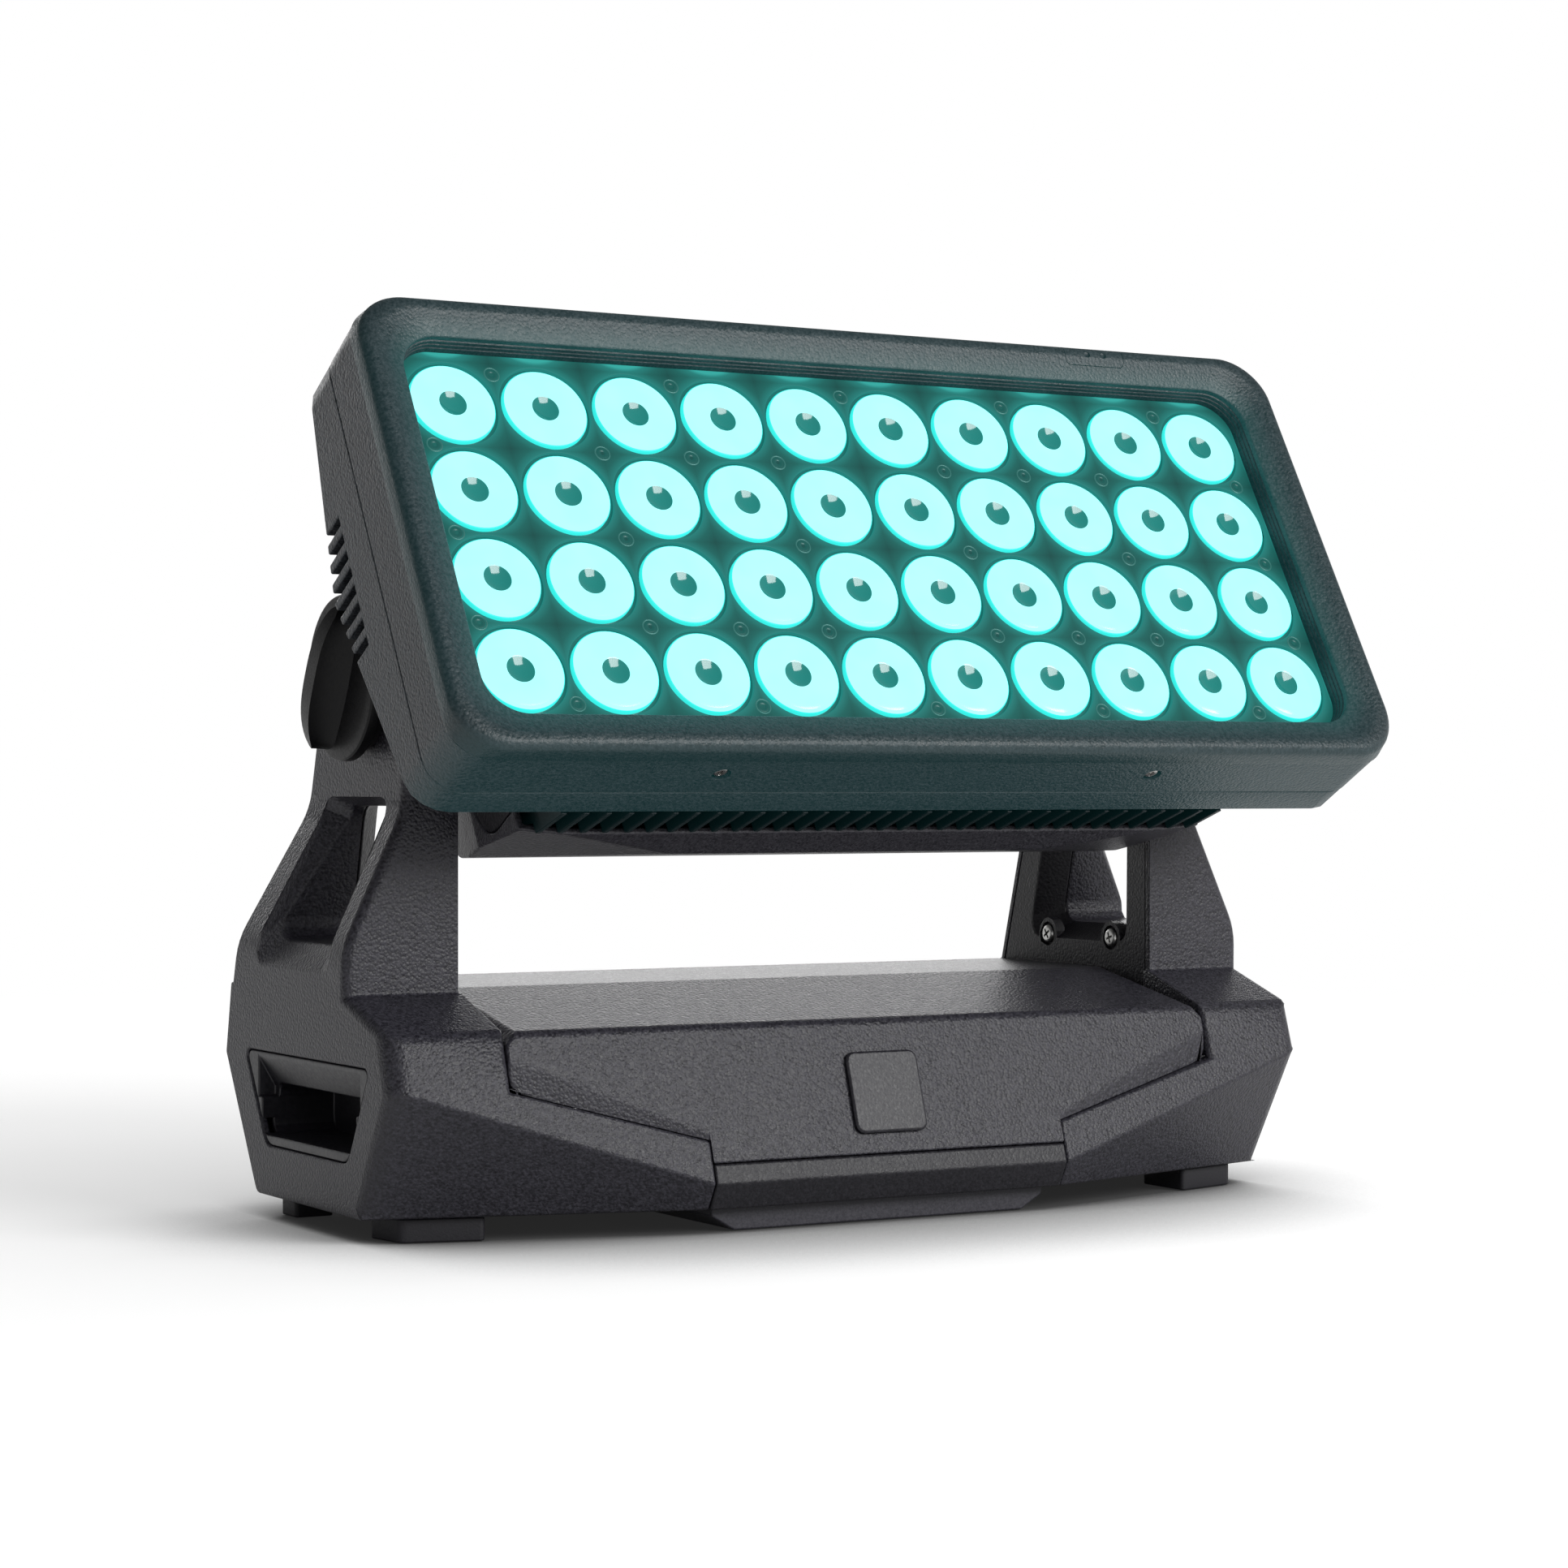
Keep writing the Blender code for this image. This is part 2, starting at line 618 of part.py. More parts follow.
def mid_housing():
    """Band behind the bezel with an inner ledge for the mask plate and two screw wells below."""
    front_y = BEZEL_BACK_Y + GAP
    mask_back_y = MASK_Y + MASK_THICKNESS + GAP

    def shrunk(amount, y):
        corner = max(HEAD_CORNER - amount, LEDGE_CORNER)
        return (HEAD_HALF_WIDTH - amount, HEAD_HALF_HEIGHT - amount, corner, y)

    ledge = HEAD_WALL + LEDGE_WIDTH
    loops = [
        shrunk(0, front_y),
        shrunk(0, HOUSING_BACK_Y),
        shrunk(HEAD_WALL, HOUSING_BACK_Y),
        shrunk(HEAD_WALL, mask_back_y + LEDGE_THICKNESS),
        shrunk(ledge, mask_back_y + LEDGE_THICKNESS),
        shrunk(ledge, mask_back_y),
        shrunk(HEAD_WALL, mask_back_y),
        shrunk(HEAD_WALL, front_y),
    ]
    housing = ring_section("mid_housing", loops, SMOOTH, TILT)
    for x in (-HOUSING_SCREW_X, HOUSING_SCREW_X):
        profile = [(0, HOUSING_SCREW_DEPTH), (HOUSING_SCREW_RADIUS, HOUSING_SCREW_DEPTH),
                   (HOUSING_SCREW_RADIUS, -MM), (0, -MM)]
        well = turned("housing_screw_well", profile, 12, None, TILT)
        well.location = (x, HOUSING_SCREW_Y, -HEAD_HALF_HEIGHT)
        cut(housing, well)
    smooth_round(housing, 30)
    return housing


def inner_outline(clearance):
    """The head's inner wall outline, less a clearance."""
    inset = HEAD_WALL + clearance
    corners = rectangle(inset - HEAD_HALF_WIDTH, HEAD_HALF_WIDTH - inset,
                        inset - HEAD_HALF_HEIGHT, HEAD_HALF_HEIGHT - inset)
    return rounded(corners, HEAD_CORNER - inset, 22.5)


def mask_plate():
    """Black plate with a hole for each lens."""
    plate = prism("mask_plate", inner_outline(GAP), "Y", MASK_Y, MASK_Y + MASK_THICKNESS,
                  MASK, TILT)
    bm = bmesh.new()
    bmesh.ops.create_cone(bm, cap_ends=True, segments=LENS_SIDES, radius1=MASK_HOLE_RADIUS,
                          radius2=MASK_HOLE_RADIUS, depth=4 * MASK_THICKNESS)
    place = Matrix.Translation((spread(COLUMNS, COLUMN_PITCH)[0], MASK_Y,
                                spread(ROWS, ROW_PITCH)[0]))
    bmesh.ops.transform(bm, matrix=place @ Matrix.Rotation(math.radians(90), 4, "X"), verts=bm.verts)
    holes = add_object("mask_holes", mesh_from("mask_holes", bm), None, TILT)
    repeat(holes, COLUMNS, (COLUMN_PITCH, 0, 0))
    repeat(holes, ROWS, (0, 0, ROW_PITCH))
    cut(plate, holes)
    return plate


def lens_rows():
    """Four moulded strips, each with ten collimating lenses that rise through the mask."""
    flange_front = MASK_Y + MASK_THICKNESS + GAP
    half = spread(COLUMNS, COLUMN_PITCH)[-1] + LENS_RADIUS + LENS_STRIP_END
    strip_half_height = ROW_PITCH / 2 - GAP / 2
    strip = prism("lens_strip", rectangle(-half, half, -strip_half_height, strip_half_height),
                  "Y", flange_front, flange_front + LENS_FLANGE, LENS, TILT)
    profile = [
        (0, LENS_PROUD),
        (LENS_RADIUS - LENS_EDGE, LENS_PROUD),
        (LENS_RADIUS, LENS_PROUD - LENS_EDGE),
        (LENS_RADIUS, MASK_Y - flange_front - LENS_FLANGE / 2),
        (LENS_BACK_RADIUS, -LENS_DEPTH),
        (0, -LENS_DEPTH),
    ]
    lens = turned("lens_body", profile, LENS_SIDES, None, TILT)
    mesh = settled_mesh(lens, "lens_body")
    bpy.data.objects.remove(lens)
    place = Matrix.Translation((spread(COLUMNS, COLUMN_PITCH)[0], MASK_Y, 0))
    mesh.transform(place @ Matrix.Rotation(math.radians(90), 4, "X"))
    lenses = add_object("lens_bodies", mesh, None, TILT)
    repeat(lenses, COLUMNS, (COLUMN_PITCH, 0, 0))
    join(strip, lenses)
    bpy.context.view_layer.update()
    shared = settled_mesh(strip, "lens_row")
    bpy.data.objects.remove(strip)
    bpy.data.objects.remove(lenses)
    shared.shade_smooth()
    shared.set_sharp_from_angle(angle=math.radians(30))
    for index, height in enumerate(reversed(spread(ROWS, ROW_PITCH)), start=1):
        row = add_object(f"lens_row_{index}", shared, LENS, TILT)
        row.location = (0, 0, height)


def led_board():
    """Board with one emitter behind each lens."""
    back = SINK_FRONT_Y - GAP
    front = back - BOARD_THICKNESS
    half_width = spread(COLUMNS, COLUMN_PITCH)[-1] + COLUMN_PITCH / 2
    half_height = spread(ROWS, ROW_PITCH)[-1] + ROW_PITCH / 2
    board = prism("led_board", rectangle(-half_width, half_width, -half_height, half_height),
                  "Y", front, back, BOARD, TILT)
    centre = (spread(COLUMNS, COLUMN_PITCH)[0], front, spread(ROWS, ROW_PITCH)[0])
    reach = Vector((LED_SIZE / 2, LED_HEIGHT, LED_SIZE / 2))
    emitters = block("emitters", Vector(centre) - reach,
                     Vector(centre) + Vector((reach.x, BOARD_THICKNESS / 2, reach.z)), None, TILT)
    repeat(emitters, COLUMNS, (COLUMN_PITCH, 0, 0))
    repeat(emitters, ROWS, (0, 0, ROW_PITCH))
    join(board, emitters)
    return board


def chevron_y(z, inset=0.0):
    """Depth of the chevron's rear surface at a height."""
    return CHEVRON_Y - abs(z - CHEVRON_Z) * math.tan(CHEVRON_SLOPE) - inset


def chevron_outline(inset=0.0):
    reach = HEAD_HALF_HEIGHT + PAST
    front = HOUSING_BACK_Y - PAST
    return [(front, -reach), (chevron_y(-reach, inset), -reach), (chevron_y(CHEVRON_Z, inset), CHEVRON_Z),
            (chevron_y(reach, inset), reach), (front, reach)]


def rear_shell():
    """Rear moulding of the wide head: chevron back, side vents, open middle for the fins."""
    front_y = HOUSING_BACK_Y + GAP
    outer = rounded(rectangle(-HEAD_HALF_WIDTH, HEAD_HALF_WIDTH, -HEAD_HALF_HEIGHT, HEAD_HALF_HEIGHT),
                    HEAD_CORNER, 22.5)
    shell = prism("rear_shell", outer, "Y", front_y, CHEVRON_Y + PAST, GRAINED, TILT)
    common(shell, prism("chevron", chevron_outline(), "X", -HEAD_REACH, HEAD_REACH, None, TILT))
    hollow = prism("rear_hollow", inner_outline(0), "Y", front_y - PAST, CHEVRON_Y + PAST,
                   None, TILT)
    common(hollow, prism("rear_hollow_chevron", chevron_outline(HEAD_WALL), "X", -HEAD_REACH, HEAD_REACH,
                         None, TILT))
    cut(shell, hollow)
    throat = BODY_HALF_WIDTH + GAP
    throat_half = HEAD_HALF_HEIGHT - HEAD_WALL - GAP
    cut(shell, block("rear_throat", (-throat, HOUSING_BACK_Y, -throat_half),
                     (throat, 0, throat_half), None, TILT))
    low_z = spread(VENT_COUNT, VENT_PITCH)[0] + VENT_CENTRE_Z
    for side in (-1, 1):
        near = side * (HEAD_HALF_WIDTH - HEAD_WALL - MM)
        far = side * (HEAD_HALF_WIDTH + 2 * MM)
        vent = block(f"side_vent_{'left' if side < 0 else 'right'}",
                     (min(near, far), VENT_FRONT_Y, low_z - VENT_HEIGHT / 2),
                     (max(near, far), CHEVRON_Y + PAST, low_z + VENT_HEIGHT / 2), None, TILT)
        repeat(vent, VENT_COUNT, (0, 0, VENT_PITCH))
        cut(shell, vent)
    return shell


def body_outline(inset=0.0):
    """Side view of the narrow rear body."""
    back = BODY_BACK_Y - inset
    high = BODY_HALF_HEIGHT - inset
    bend = BODY_BEVEL_Y - inset * math.tan(BODY_BEVEL / 2)
    low = high - (back - bend) * math.tan(BODY_BEVEL)
    corner = BODY_BACK_ROUND - inset
    front = BODY_FRONT_Y - (PAST if inset else 0)
    return rounded([(front, -high, 0), (bend, -high, 0), (back, -low, corner),
                    (back, low, corner), (bend, high, 0), (front, high, 0)], 0, 20)


def body_plan(inset=0.0):
    """Plan of the narrow rear body, drawn in towards the back."""
    front = HOUSING_BACK_Y - PAST
    back = BODY_BACK_Y + PAST
    wide = BODY_HALF_WIDTH - inset
    slope = (BODY_HALF_WIDTH - BODY_BACK_HALF_WIDTH) / (BODY_BACK_Y - BODY_TAPER_Y)
    narrow = wide - slope * (back - BODY_TAPER_Y)
    return [(-wide, front), (wide, front), (wide, BODY_TAPER_Y), (narrow, back),
            (-narrow, back), (-wide, BODY_TAPER_Y)]


def side_plate_outline(grow=0.0, front=None):
    """Side view of the plates that carry the head at the tilt axis."""
    half = SIDE_PLATE_HALF_HEIGHT + grow
    bend = SIDE_PLATE_BEND_Y + grow / 2
    back = SIDE_PLATE_BACK_Y + grow
    return rounded([(front, -half, 0), (bend, -half, SIDE_PLATE_ROUND), (back, 0, SIDE_PLATE_ROUND),
                    (bend, half, SIDE_PLATE_ROUND), (front, half, 0)], 0, 18)


def head_side_plates():
    """Steel plates on the heat sink's back that carry the head's tilt studs."""
    outline = side_plate_outline(0, SINK_FRONT_Y + SINK_PLATE + GAP)
    right = prism("head_side_plate_right", outline, "X", BODY_HALF_WIDTH - SIDE_PLATE,
                  BODY_HALF_WIDTH, SMOOTH, TILT)
    taper = prism("side_plate_taper", body_plan(), "Z", -HEAD_REACH, HEAD_REACH, None, TILT)
    bore = rod("side_plate_bore", STUD_BORE, BODY_HALF_WIDTH - 2 * SIDE_PLATE,
               BODY_HALF_WIDTH + SIDE_PLATE, 0, 0, 16, None, TILT)
    common(right, taper)
    cut(right, bore)
    bpy.context.view_layer.update()
    mirrored(right, "head_side_plate_left", TILT)


def body_sweeps(wall=0.0):
    """Cutters for the body's four corners, which sweep forward towards its ends."""
    cutters = []
    low_x = BODY_SWEEP_START[0] / 2
    high_x = BODY_HALF_WIDTH + 2 * PAST
    for side in (-1, 1):
        for way in (-1, 1):
            start = (side * BODY_SWEEP_START[0], BODY_SWEEP_START[1], way * BODY_HALF_HEIGHT)
            end = (side * BODY_SWEEP_END[0], BODY_SWEEP_END[1], way * BODY_HALF_HEIGHT)
            flank = (side * BODY_SWEEP_SIDE[0], BODY_SWEEP_SIDE[1], way * BODY_SWEEP_SIDE[2])
            wide = sorted((side * low_x, side * high_x))
            tall = sorted((way * BODY_HALF_HEIGHT / 2, way * (BODY_HALF_HEIGHT + PAST)))
            outside = (0, 0, way)
            plane = facet(start, end, flank, outside, -wall)
            cutters.append(block("body_sweep", (wide[0], HOUSING_BACK_Y, tall[0]),
                                 (wide[1], BODY_BACK_Y + PAST, tall[1]), None, TILT, [plane]))
    return cutters


def rear_cover():
    """Cover that wraps the narrow body over its top, back and underside."""
    cover = prism("rear_cover", body_outline(), "X", -BODY_HALF_WIDTH - MM, BODY_HALF_WIDTH + MM,
                  GRAINED, TILT)
    common(cover, prism("cover_taper", body_plan(), "Z", -HEAD_REACH, HEAD_REACH, None, TILT))
    hollow = prism("cover_hollow", body_outline(BODY_WALL), "X", -HEAD_REACH, HEAD_REACH, None, TILT)
    common(hollow, prism("cover_hollow_taper", body_plan(BODY_WALL), "Z", -HEAD_REACH, HEAD_REACH,
                         None, TILT))
    cut(hollow, *body_sweeps(BODY_WALL))
    cut(cover, hollow)
    cut(cover, *body_sweeps())
    pocket = side_plate_outline(GAP, BODY_FRONT_Y - PAST)
    for side in (-1, 1):
        ends = sorted((side * (BODY_BACK_HALF_WIDTH - 2 * SIDE_PLATE),
                       side * (BODY_HALF_WIDTH + PAST)))
        cut(cover, prism(f"side_plate_pocket_{side + 1}", pocket, "X", *ends, None, TILT))
    return cover


def heat_sink():
    """Finned casting behind the board; its fins show above and below the head."""
    plate = prism("heat_sink", inner_outline(GAP), "Y", SINK_FRONT_Y, SINK_FRONT_Y + SINK_PLATE,
                  CAST, TILT)
    root = SINK_FRONT_Y + SINK_PLATE / 2
    inner = HEAD_HALF_HEIGHT - HEAD_WALL - GAP
    hidden = BODY_HALF_HEIGHT - BODY_WALL - GAP - FIN_CLEARANCE
    step = BODY_FRONT_Y - GAP
    low_start = chevron_y(-inner) + GAP
    high_start = chevron_y(inner) + GAP
    outline = [
        (root, -inner), (low_start, -inner), (low_start, -HEAD_HALF_HEIGHT), (step, -BODY_HALF_HEIGHT),
        (step, -hidden), (FIN_BACK_Y, -hidden + FIN_DROP),
        (FIN_BACK_Y, hidden - FIN_DROP), (step, hidden),
        (step, BODY_HALF_HEIGHT), (high_start, HEAD_HALF_HEIGHT), (high_start, inner), (root, inner),
    ]
    first = spread(FIN_COUNT, FIN_PITCH)[0]
    fins = prism("fins", outline, "X", first - FIN_THICKNESS / 2, first + FIN_THICKNESS / 2, None, TILT)
    repeat(fins, FIN_COUNT, (FIN_PITCH, 0, 0))
    join(plate, fins)
    return plate


def tilt_studs():
    """Threaded studs, headed inside the side plates, on which the head turns."""
    inside = BODY_HALF_WIDTH - SIDE_PLATE - GAP
    right = rod("tilt_stud_right", STUD_RADIUS, inside - STUD_HEAD / 2, STUD_END_X, 0, 0, 16, STEEL, TILT)
    join(right, rod("stud_head", STUD_HEAD_RADIUS, inside - STUD_HEAD, inside, 0, 0, 6, None, TILT))
    bpy.context.view_layer.update()
    mirrored(right, "tilt_stud_left", TILT)


def friction_washers():
    """Fibre discs between each side plate and its arm."""
    low = BODY_HALF_WIDTH + GAP
    high = ARM_INNER_X - GAP
    right = rod("friction_washer_right", WASHER_RADIUS, low, high, 0, PIVOT_Z, 24, RUBBER)
    cut(right, rod("washer_bore", STUD_BORE, low - MM, high + MM, 0, PIVOT_Z, 16))
    bpy.context.view_layer.update()
    mirrored(right, "friction_washer_left")


def lock_knob(name, side):
    """Round clamp knob with a grip bar, turned about the tilt axis."""
    lean = bpy.data.objects.new(name + "_axis", None)
    PARTS.objects.link(lean)
    lean.location = (side * (ARM_OUTER_X + GAP), 0, PIVOT_Z)
    lean.rotation_euler = (side * GRIP_LEAN, 0, 0 if side > 0 else math.pi)
    face = KNOB_STEP + KNOB_RIM
    profile = [
        (0, face), (KNOB_RADIUS - KNOB_EDGE, face), (KNOB_RADIUS, face - KNOB_EDGE), (KNOB_RADIUS, KNOB_STEP),
        (KNOB_STEP_RADIUS, KNOB_STEP), (KNOB_STEP_RADIUS, 0), (0, 0),
    ]
    disc = turned(name + "_disc", profile, 24)
    mesh = settled_mesh(disc, name)
    bpy.data.objects.remove(disc)
    mesh.transform(Matrix.Rotation(math.radians(90), 4, "Y"))
    knob = add_object(name, mesh, BLACK, lean)
    root = face - KNOB_EDGE
    half = GRIP_LENGTH / 2
    shoulder = face + GRIP_SHOULDER
    top = face + GRIP_HEIGHT
    top_half = GRIP_TOP_LENGTH / 2
    outline = rounded([(root, -half, 0), (shoulder, -half, GRIP_CORNER), (top, -top_half, GRIP_TOP_CORNER),
                       (top, top_half, GRIP_TOP_CORNER), (shoulder, half, GRIP_CORNER), (root, half, 0)],
                      0, 20)
    grip = prism(name + "_grip", outline, "Y", -GRIP_WIDTH / 2, GRIP_WIDTH / 2, None, lean)
    bore = rod(name + "_bore", STUD_BORE, -MM, STUD_END_X - ARM_OUTER_X + MM, 0, 0, 16, None, lean)
    join(knob, grip)
    cut(knob, bore)
    return knob


def arm_radius(inset):
    return ARM_RADIUS - inset


def arm_outline(inset=0.0, foot=0.0):
    """Side view of an arm: upright front edge, round top on the tilt axis, leaning back edge."""
    radius = arm_radius(inset)
    points = [(-radius, foot)]
    sweep = math.pi - ARM_REAR_LEAN
    steps = 12
    for k in range(steps + 1):
        angle = math.pi - sweep * k / steps
        points.append((radius * math.cos(angle), PIVOT_Z + radius * math.sin(angle)))
    tangent_y, tangent_z = points[-1]
    points.append((tangent_y + (tangent_z - foot) * math.tan(ARM_REAR_LEAN), foot))
    return points


def window_outline(front, rear, low, high, grow=0.0):
    """Side view of an arm's window: upright in front, leaning behind, the rear given at its top."""
    rear_high = rear + grow / math.cos(WINDOW_REAR_LEAN) - grow * math.tan(WINDOW_REAR_LEAN)
    rear_low = rear_high + (high - low + 2 * grow) * math.tan(WINDOW_REAR_LEAN)
    return rounded([(front - grow, low - grow), (rear_low, low - grow), (rear_high, high + grow),
                    (front - grow, high + grow)], WINDOW_CORNER + grow, 30)


def outer_window(grow=0.0):
    return window_outline(WINDOW_FRONT_Y, WINDOW_REAR_Y, WINDOW_BOTTOM_Z, WINDOW_TOP_Z, grow)


def window_throat():
    return window_outline(THROAT_FRONT_Y, THROAT_REAR_Y, THROAT_BOTTOM_Z, THROAT_TOP_Z)


def plate_window(grow=0.0):
    return window_outline(THROAT_FRONT_Y, PLATE_WINDOW_REAR_Y, PLATE_WINDOW_BOTTOM_Z,
                          PLATE_WINDOW_TOP_Z, grow)


def lofted(name, rings):
    """Closed body through rings of points, its two ends flat."""
    bm = bmesh.new()
    loops = [[bm.verts.new(point) for point in ring] for ring in rings]
    for loop, following in zip(loops, loops[1:]):
        for i in range(len(loop)):
            bm.faces.new((loop[i - 1], loop[i], following[i], following[i - 1]))
    bm.faces.new(loops[0])
    bm.faces.new(loops[-1])
    bmesh.ops.triangulate(bm, faces=bm.faces)
    return add_object(name, mesh_from(name, bm), None)


def arm_face_x(z):
    """Where the arm's outer face stands at a height."""
    share = (ARM_BEND_TOP_Z - z) / (ARM_BEND_TOP_Z - ARM_BEND_BOTTOM_Z)
    return ARM_OUTER_X + min(max(share, 0), 1) * (BASE_HALF_WIDTH - ARM_OUTER_X)


def window_cutter():
    """Window through the cover, bevelled inwards all round from the outer face."""
    outer = outer_window()
    throat = window_throat()
    rings = [
        [(BASE_HALF_WIDTH + PAST, y, z) for y, z in outer],
        [(arm_face_x(z), y, z) for y, z in outer],
        [(arm_face_x(face[1]) - WINDOW_BEVEL_DEPTH, y, z) for face, (y, z) in zip(outer, throat)],
        [(ARM_INNER_X - PAST, y, z) for y, z in throat],
    ]
    return lofted("cover_window", rings)


def base_facets(side, inset=0.0, ends=True):
    """Sloping planes of the base around one half, moved in by an inset."""
    wide = side * BASE_HALF_WIDTH
    toe = side * TOE_HALF_WIDTH
    facets = []
    for ridge, belt, foot, heel in ((RIDGE_FRONT, BELT_FRONT, TOE_FRONT, HEEL_FRONT_Y),
                                    (RIDGE_REAR, BELT_REAR, TOE_REAR, HEEL_REAR_Y)):
        facets.append(facet((0, *ridge), (wide, *ridge), (0, *foot), inset=inset))
        if ends:
            facets.append(facet((wide, *belt), (toe, *foot), (wide, heel, FLOOR_Z), inset=inset))
    return facets


def toe_facets(inset=0.0):
    """Small bevels along the foot of the front and rear."""
    facets = []
    for foot, way in ((TOE_FRONT, 1), (TOE_REAR, -1)):
        low = (foot[0] + way * TOE_BEVEL, FLOOR_Z)
        facets.append(facet((0, *foot), (BASE_REACH, *foot), (0, *low), inset=inset))
    return facets


def tower_top(inset=0.0):
    front = (-ARM_RADIUS, TOWER_TOP_Z)
    return facet((0, *front), (BASE_REACH, *front), (0, *RIDGE_FRONT), inset=inset)


def cover_top(inset=0.0):
    start = (TOP_SLOPE_Y, TOP_Z)
    return facet((0, *start), (BASE_REACH, *start), (0, *RIDGE_FRONT), inset=inset)


def wedge_top(inset=0.0):
    """Sloping plane under the diagonal seam on the right-hand side."""
    drop = GAP / 2
    outer = (SEAM_X, 0, SEAM_HIGH_Z - drop)
    inner = (TOE_HALF_WIDTH, 0, SEAM_LOW_Z - drop)
    return facet(outer, inner, (SEAM_X, BASE_REACH, SEAM_HIGH_Z - drop), (SEAM_X, 0, 0), inset)


def side_cover(name):
    """Right-hand moulding: base tower, arm cover, window and handle opening in one piece."""
    inner_wall = SEAM_X + GAP / 2
    tower_low = (inner_wall, -BASE_REACH, FLOOR_Z)
    tower_high = (BASE_HALF_WIDTH, BASE_REACH, TOWER_TOP_Z)
    cover = block(name, tower_low, tower_high, GRAINED, None, base_facets(1) + [tower_top()])
    wedge_high = (SEAM_X + 2 * PAST, BASE_REACH, TOP_Z)
    wedge = block("tower_wedge", (TOE_HALF_WIDTH + GAP / 2, -BASE_REACH, FLOOR_Z), wedge_high,
                  None, None, base_facets(1) + [wedge_top()])
    join(cover, wedge)
    low = FLOOR_Z - MM
    hollow = block("tower_hollow", (inner_wall + COVER_WALL, -BASE_REACH, low),
                   (BASE_HALF_WIDTH - COVER_WALL, BASE_REACH, TOWER_TOP_Z - COVER_WALL), None, None,
                   base_facets(1, COVER_WALL) + [tower_top(COVER_WALL)])
    under = block("wedge_hollow", (0, -BASE_REACH, low), wedge_high, None, None,
                  base_facets(1, COVER_WALL) + [wedge_top(COVER_WALL)])
    cut(cover, hollow, under)
    slot_front = -arm_radius(COVER_WALL)
    slot_back = arm_outline(COVER_WALL, TOWER_TOP_Z)[-1][0]
    shoulder_z = TOWER_TOP_Z - PLATE_SHOULDER_DROP
    slot = prism("plate_slot", [(slot_front, low), (slot_back - PLATE_FOOT_BACK, low),
                                (slot_back - PLATE_SHOULDER, shoulder_z), (slot_back, TOWER_TOP_Z - MM),
                                (slot_back, TOWER_TOP_Z + MM), (slot_front, TOWER_TOP_Z + MM)],
                 "X", SEAM_X - MM, ARM_INNER_X + ARM_PLATE + GAP)
    cut(cover, slot)
    join(cover, arm_cover())
    bore = rod("cover_bore", STUD_BORE, ARM_INNER_X, ARM_OUTER_X + MM, 0, PIVOT_Z)
    mouth = prism("handle_mouth", handle_outline(), "X", BASE_HALF_WIDTH - 2 * COVER_WALL,
                  BASE_HALF_WIDTH + MM)
    cut(cover, bore, window_cutter(), mouth)
    seam = ARM_INNER_X + PLATE_FLANGE
    for y in SCREW_Y:
        cut(cover, rod("screw_socket", SCREW_SHANK_RADIUS + GAP, seam - MM, seam + SCREW_LENGTH / 2,
                       y, SCREW_Z, 8))
    return cover


def arm_section(inset=0.0):
    """Front view of the arm cover: upright, then slanting out to the base's end."""
    outer = ARM_OUTER_X - inset
    wide = BASE_HALF_WIDTH - inset
    near = ARM_INNER_X - (PAST if inset else 0)
    foot = TOWER_TOP_Z - 2 * COVER_WALL - (3 * PAST if inset else 0)
    top = PIVOT_Z + 2 * ARM_RADIUS
    return rounded([(near, foot, 0), (wide, foot, 0), (wide, ARM_BEND_BOTTOM_Z, ARM_BEND_ROUND),
                    (outer, ARM_BEND_TOP_Z, ARM_BEND_ROUND), (outer, top, 0), (near, top, 0)], 0, 6)


def arm_cover():
    """Hollow outer part of an arm, wrapped round its plate, with walls round its window."""
    foot = TOWER_TOP_Z - 2 * COVER_WALL
    arm = prism("arm_cover", arm_outline(0, foot), "X", ARM_INNER_X, BASE_HALF_WIDTH + PAST)
    common(arm, prism("arm_section", arm_section(), "Y", -BASE_REACH, BASE_REACH))
    hollow = prism("arm_hollow", arm_outline(COVER_WALL, foot - 3 * PAST), "X", ARM_INNER_X - PAST,
                   BASE_HALF_WIDTH + PAST)
    common(hollow, prism("arm_hollow_section", arm_section(COVER_WALL), "Y", -BASE_REACH, BASE_REACH))
    cut(hollow, prism("window_wall", outer_window(COVER_WALL), "X", ARM_INNER_X + PLATE_FLANGE + GAP,
                      BASE_HALF_WIDTH + 2 * PAST))
    cut(arm, hollow)
    return arm


